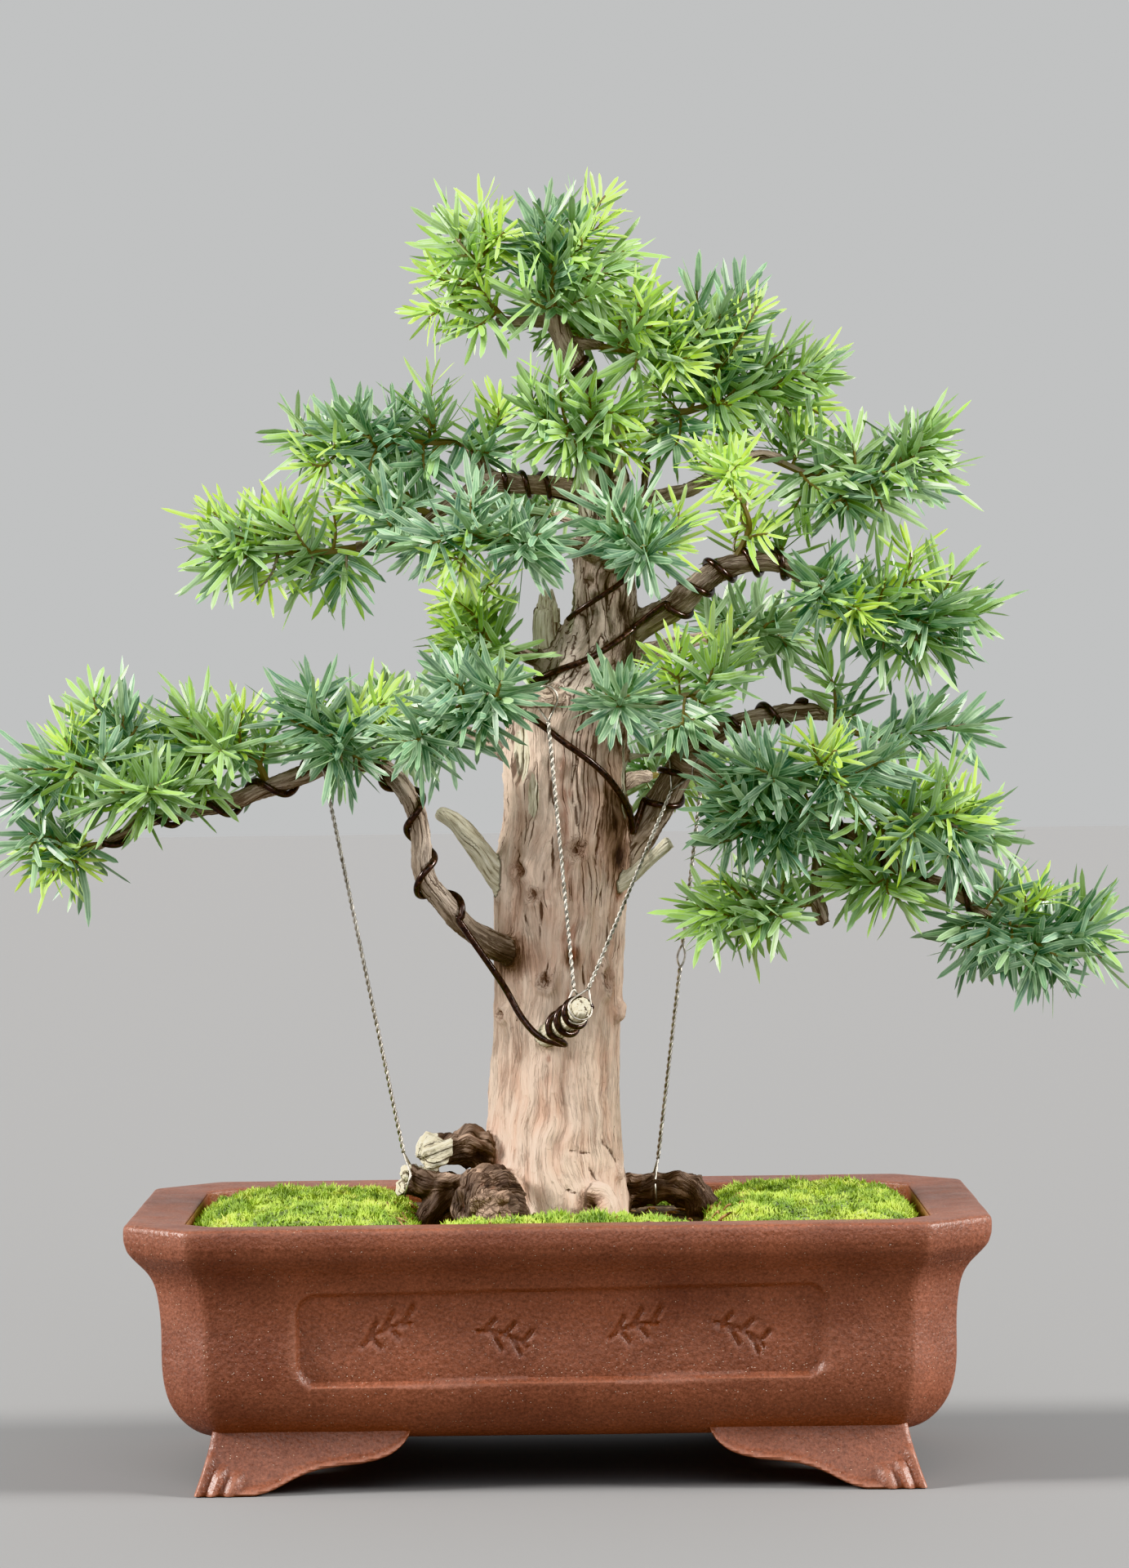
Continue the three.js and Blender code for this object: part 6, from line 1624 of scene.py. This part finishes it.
# Colours as they are seen: key, name, what it is, hex value
COLOURS = [
    ("clay", "Clay", "Stoneware body", "#734838"),
    ("clay_dark", "Clay shade", "Darker clouds", "#623a2d"),
    ("clay_light", "Clay light", "Lighter clouds", "#84523f"),
    ("clay_edge", "Clay edge", "Worn edges", "#a87560"),
    ("soil", "Soil", "Growing medium", "#3a2c20"),
    ("moss", "Moss", "Cushion moss", "#8dab3f"),
    ("moss_dark", "Moss shade", "Older moss", "#5f7f2c"),
    ("moss_light", "Moss light", "Growing tips", "#c0d45c"),
    ("bark", "Bark", "Pinkish tan bark", "#c8a894"),
    ("bark_pale", "Bark pale", "Thin peach scales", "#e2cbb8"),
    ("bark_brown", "Bark brown", "Weathered bark", "#a38773"),
    ("bark_dark", "Bark dark", "Old wet bark", "#403029"),
    ("bark_red", "Bark red", "Inner bark", "#9a604a"),
    ("grey_pale", "Branch pale", "Lit branch bark", "#c9bcae"),
    ("grey", "Branch", "Branch bark", "#a39585"),
    ("grey_dark", "Branch dark", "Old branch bark", "#5c5045"),
    ("deadwood", "Deadwood", "Bare wood", "#cdc6ad"),
    ("deadwood_pale", "Deadwood pale", "Bleached", "#e6e2d0"),
    ("deadwood_dark", "Deadwood dark", "Grain lines", "#958b76"),
    ("wire", "Wire", "Training wire", "#3f2d27"),
    ("guy", "Guy wire", "Twisted wire", "#d8d4cb"),
    ("leaf_old", "Oldest leaf", "Blue-green", "#456c5b"),
    ("leaf_dark", "Dark leaf", "Last year's", "#5f8560"),
    ("leaf", "Leaf", "This year's", "#84a552"),
    ("leaf_new", "New leaf", "Soft growth", "#a0ca40"),
    ("leaf_lime", "Lime leaf", "Newest tips", "#cbe846"),
    ("leaf_under", "Leaf underside", "Paler below", "#9fba86"),
    ("leaf_margin", "Leaf margin", "Paler edge", "#b4d0a8"),
    ("twig", "Twig", "Young brown twig", "#6f6238"),
    ("floor", "Floor", "Studio floor", "#7e7f80"),
]
# Sizes and densities: key, name, what it is, value, least value, unit
SIZES = [
    ("foot_cell", "Foot cell", "Cell of the fused feet", 0.0012, 0.0005, "LENGTH"),
    ("wood_cell", "Wood cell", "Cell of the fused wood", 0.00112, 0.0005, "LENGTH"),
    ("leaf_spacing", "Leaf spacing", "Shoot length for each leaf, in millimetres", 1.3, 0.5, "NONE"),
    ("shoot_step", "Shoot step", "Distance between side shoots on a shoot, in millimetres", 7.0, 3, "NONE"),
    ("stem_step", "Stem step", "Distance between side shoots on a stem, in millimetres", 6.5, 3, "NONE"),
    ("moss_density", "Moss density", "Moss spikes on each square millimetre", 1.25, 0, "NONE"),
    ("moss_length", "Moss length", "Height of a moss spike", 0.0021, 0.0005, "LENGTH"),
    ("lamp_power", "Lamp power", "Strength of the left lamp", 5.8, 0, "NONE"),
]


class BonsaiFinishes(bpy.types.PropertyGroup):
    """Colours of the finishes, as they are seen."""

    __annotations__ = {
        key: bpy.props.StringProperty(name=name, description=about, default=code)
        for key, name, about, code in COLOURS
    }


class BonsaiSizes(bpy.types.PropertyGroup):
    """Sizes and densities of the fine pieces."""

    __annotations__ = {
        key: bpy.props.FloatProperty(name=name, description=about, default=value, min=least, unit=unit)
        for key, name, about, value, least, unit in SIZES
    }


# Operators


class BONSAI_OT_pot(bpy.types.Operator):
    """Builds the stoneware pot with its sunk panel and bracket feet"""

    bl_idname = "bonsai.pot"
    bl_label = "Clay pot"

    def execute(self, context):
        cell = context.scene.bonsai_sizes.foot_cell
        points, faces = joined([pot_wall(), feet(cell)])
        pot = fill_mesh("stoneware_pot", points + (0, 0, LIFT), faces)
        pot.data.set_sharp_from_angle(angle=SHARP_EDGE)
        place(pot, stoneware(context.scene.bonsai_finishes), "clay", "pot")
        return {"FINISHED"}


class BONSAI_OT_ground(bpy.types.Operator):
    """Gives the soil its finish and grows the moss cushions"""

    bl_idname = "bonsai.ground"
    bl_label = "Soil and moss"

    def execute(self, context):
        scene = context.scene
        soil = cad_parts["soil"]
        soil.data.materials.clear()
        soil.data.materials.append(damp_soil(scene.bonsai_finishes))
        moss = living_moss(scene.bonsai_finishes)
        for number, name in enumerate(MOSS):
            moss_piece(name, moss, scene.bonsai_sizes, SEEDS["moss"] + number)
        litter_piece(dry_litter(), SEEDS["litter"])
        return {"FINISHED"}


class BONSAI_OT_wood(bpy.types.Operator):
    """Builds the trunk, branches, deadwood and roots as one skin of bark"""

    bl_idname = "bonsai.wood"
    bl_label = "Wood"

    def execute(self, context):
        wood = wood_mesh(context.scene.bonsai_sizes)
        bark = old_bark(context.scene.bonsai_finishes)
        place(wood, bark, "bark", "trunk_and_branches")
        torn_fibres(bark, np.random.default_rng(SEEDS["fibres"]))
        return {"FINISHED"}


class BONSAI_OT_wires(bpy.types.Operator):
    """Winds the training wires and twists the guy wires"""

    bl_idname = "bonsai.wires"
    bl_label = "Wires"

    def execute(self, context):
        dark = dark_wire(context.scene.bonsai_finishes)
        bright = bright_wire(context.scene.bonsai_finishes)
        for name, (radius, runs) in WIRES.items():
            wire = fill_mesh("round_" + name, *tube(wire_path(radius, runs), radius, SIDES["wire"]))
            place(wire, dark, "training_wire", name)
        for name, ends in GUYS.items():
            guy = fill_mesh("twisted_" + name, *joined(guy_parts(*ends)))
            place(guy, bright, "guy_wire", name)
        return {"FINISHED"}


class BONSAI_OT_leaves(bpy.types.Operator):
    """Grows the leafy sprays"""

    bl_idname = "bonsai.leaves"
    bl_label = "Leaves"

    def execute(self, context):
        finish = yew_leaf(context.scene.bonsai_finishes)
        for number, name in enumerate(SPRAYS):
            spray_piece(name, finish, context.scene.bonsai_sizes, SEEDS["sprays"] + number)
        return {"FINISHED"}


class BONSAI_OT_stage(bpy.types.Operator):
    """Sets up the pale floor, the soft lamps and the camera"""

    bl_idname = "bonsai.stage"
    bl_label = "Studio"

    def execute(self, context):
        scene = context.scene
        corners = FLOOR_HALF * np.array([(-1.0, -1, 0), (1, -1, 0), (1, 1, 0), (-1, 1, 0)])
        floor = fill_mesh("floor", corners, [np.array([(0, 1, 2, 3)])])
        floor.data.materials.append(pale_floor(scene.bonsai_finishes))
        world = bpy.data.worlds.new("soft_room")
        world.use_nodes = True
        join(world.node_tree.nodes["Background"], {"Color": linear("#eceded"), "Strength": ROOM_LIGHT})
        scene.world = world
        for name, where, wide, share, tint in LAMPS:
            lamp = bpy.data.lights.new(name, "SUN")
            lamp.angle = math.radians(wide)
            lamp.energy = scene.bonsai_sizes.lamp_power * share
            lamp.color = linear(tint)[:3]
            holder = bpy.data.objects.new(name, lamp)
            holder.location = where
            holder.rotation_euler = (-Vector(where)).to_track_quat("-Z", "Y").to_euler()
            scene.collection.objects.link(holder)
        eye = bpy.data.cameras.new("front_view")
        eye.sensor_fit = "VERTICAL"
        eye.sensor_height = 36
        eye.lens = FOCAL
        eye.clip_end = 20
        camera = bpy.data.objects.new("front_view", eye)
        right = np.array([1.0, 0, 0])
        up = np.array([0, math.sin(PITCH), math.cos(PITCH)])
        matrix = np.eye(4)
        matrix[:3, 0] = math.cos(ROLL) * right - math.sin(ROLL) * up
        matrix[:3, 1] = math.sin(ROLL) * right + math.cos(ROLL) * up
        matrix[:3, 2] = (0, -math.cos(PITCH), math.sin(PITCH))
        matrix[:3, 3] = (EYE + (0, 0, LIFT)) * METRE
        camera.matrix_world = Matrix(matrix.tolist())
        scene.collection.objects.link(camera)
        scene.camera = camera
        scene.view_settings.view_transform = "Khronos PBR Neutral"
        return {"FINISHED"}


class BONSAI_PT_panel(bpy.types.Panel):
    """Lists the builders and their settings"""

    bl_label = "Yew bonsai"
    bl_idname = "BONSAI_PT_panel"
    bl_space_type = "VIEW_3D"
    bl_region_type = "UI"
    bl_category = "Bonsai"

    def draw(self, context):
        layout = self.layout
        for group in (context.scene.bonsai_sizes, context.scene.bonsai_finishes):
            box = layout.box()
            for key in group.bl_rna.properties.keys():
                if key not in ("rna_type", "name"):
                    box.prop(group, key)
        for operator in OPERATORS:
            layout.operator(operator.bl_idname)


OPERATORS = (
    BONSAI_OT_pot, BONSAI_OT_ground, BONSAI_OT_wood, BONSAI_OT_wires, BONSAI_OT_leaves, BONSAI_OT_stage)
CLASSES = (BonsaiFinishes, BonsaiSizes, *OPERATORS, BONSAI_PT_panel)


def register():
    """Adds the settings, the builders and the panel."""
    for each in CLASSES:
        bpy.utils.register_class(each)
    bpy.types.Scene.bonsai_finishes = bpy.props.PointerProperty(type=BonsaiFinishes)
    bpy.types.Scene.bonsai_sizes = bpy.props.PointerProperty(type=BonsaiSizes)


def unregister():
    """Takes them away again."""
    del bpy.types.Scene.bonsai_sizes
    del bpy.types.Scene.bonsai_finishes
    for each in reversed(CLASSES):
        bpy.utils.unregister_class(each)


def main():
    """Builds everything."""
    register()
    bpy.ops.bonsai.pot()
    bpy.ops.bonsai.ground()
    bpy.ops.bonsai.wood()
    bpy.ops.bonsai.wires()
    bpy.ops.bonsai.leaves()
    bpy.ops.bonsai.stage()


if __name__ == "__main__":
    main()
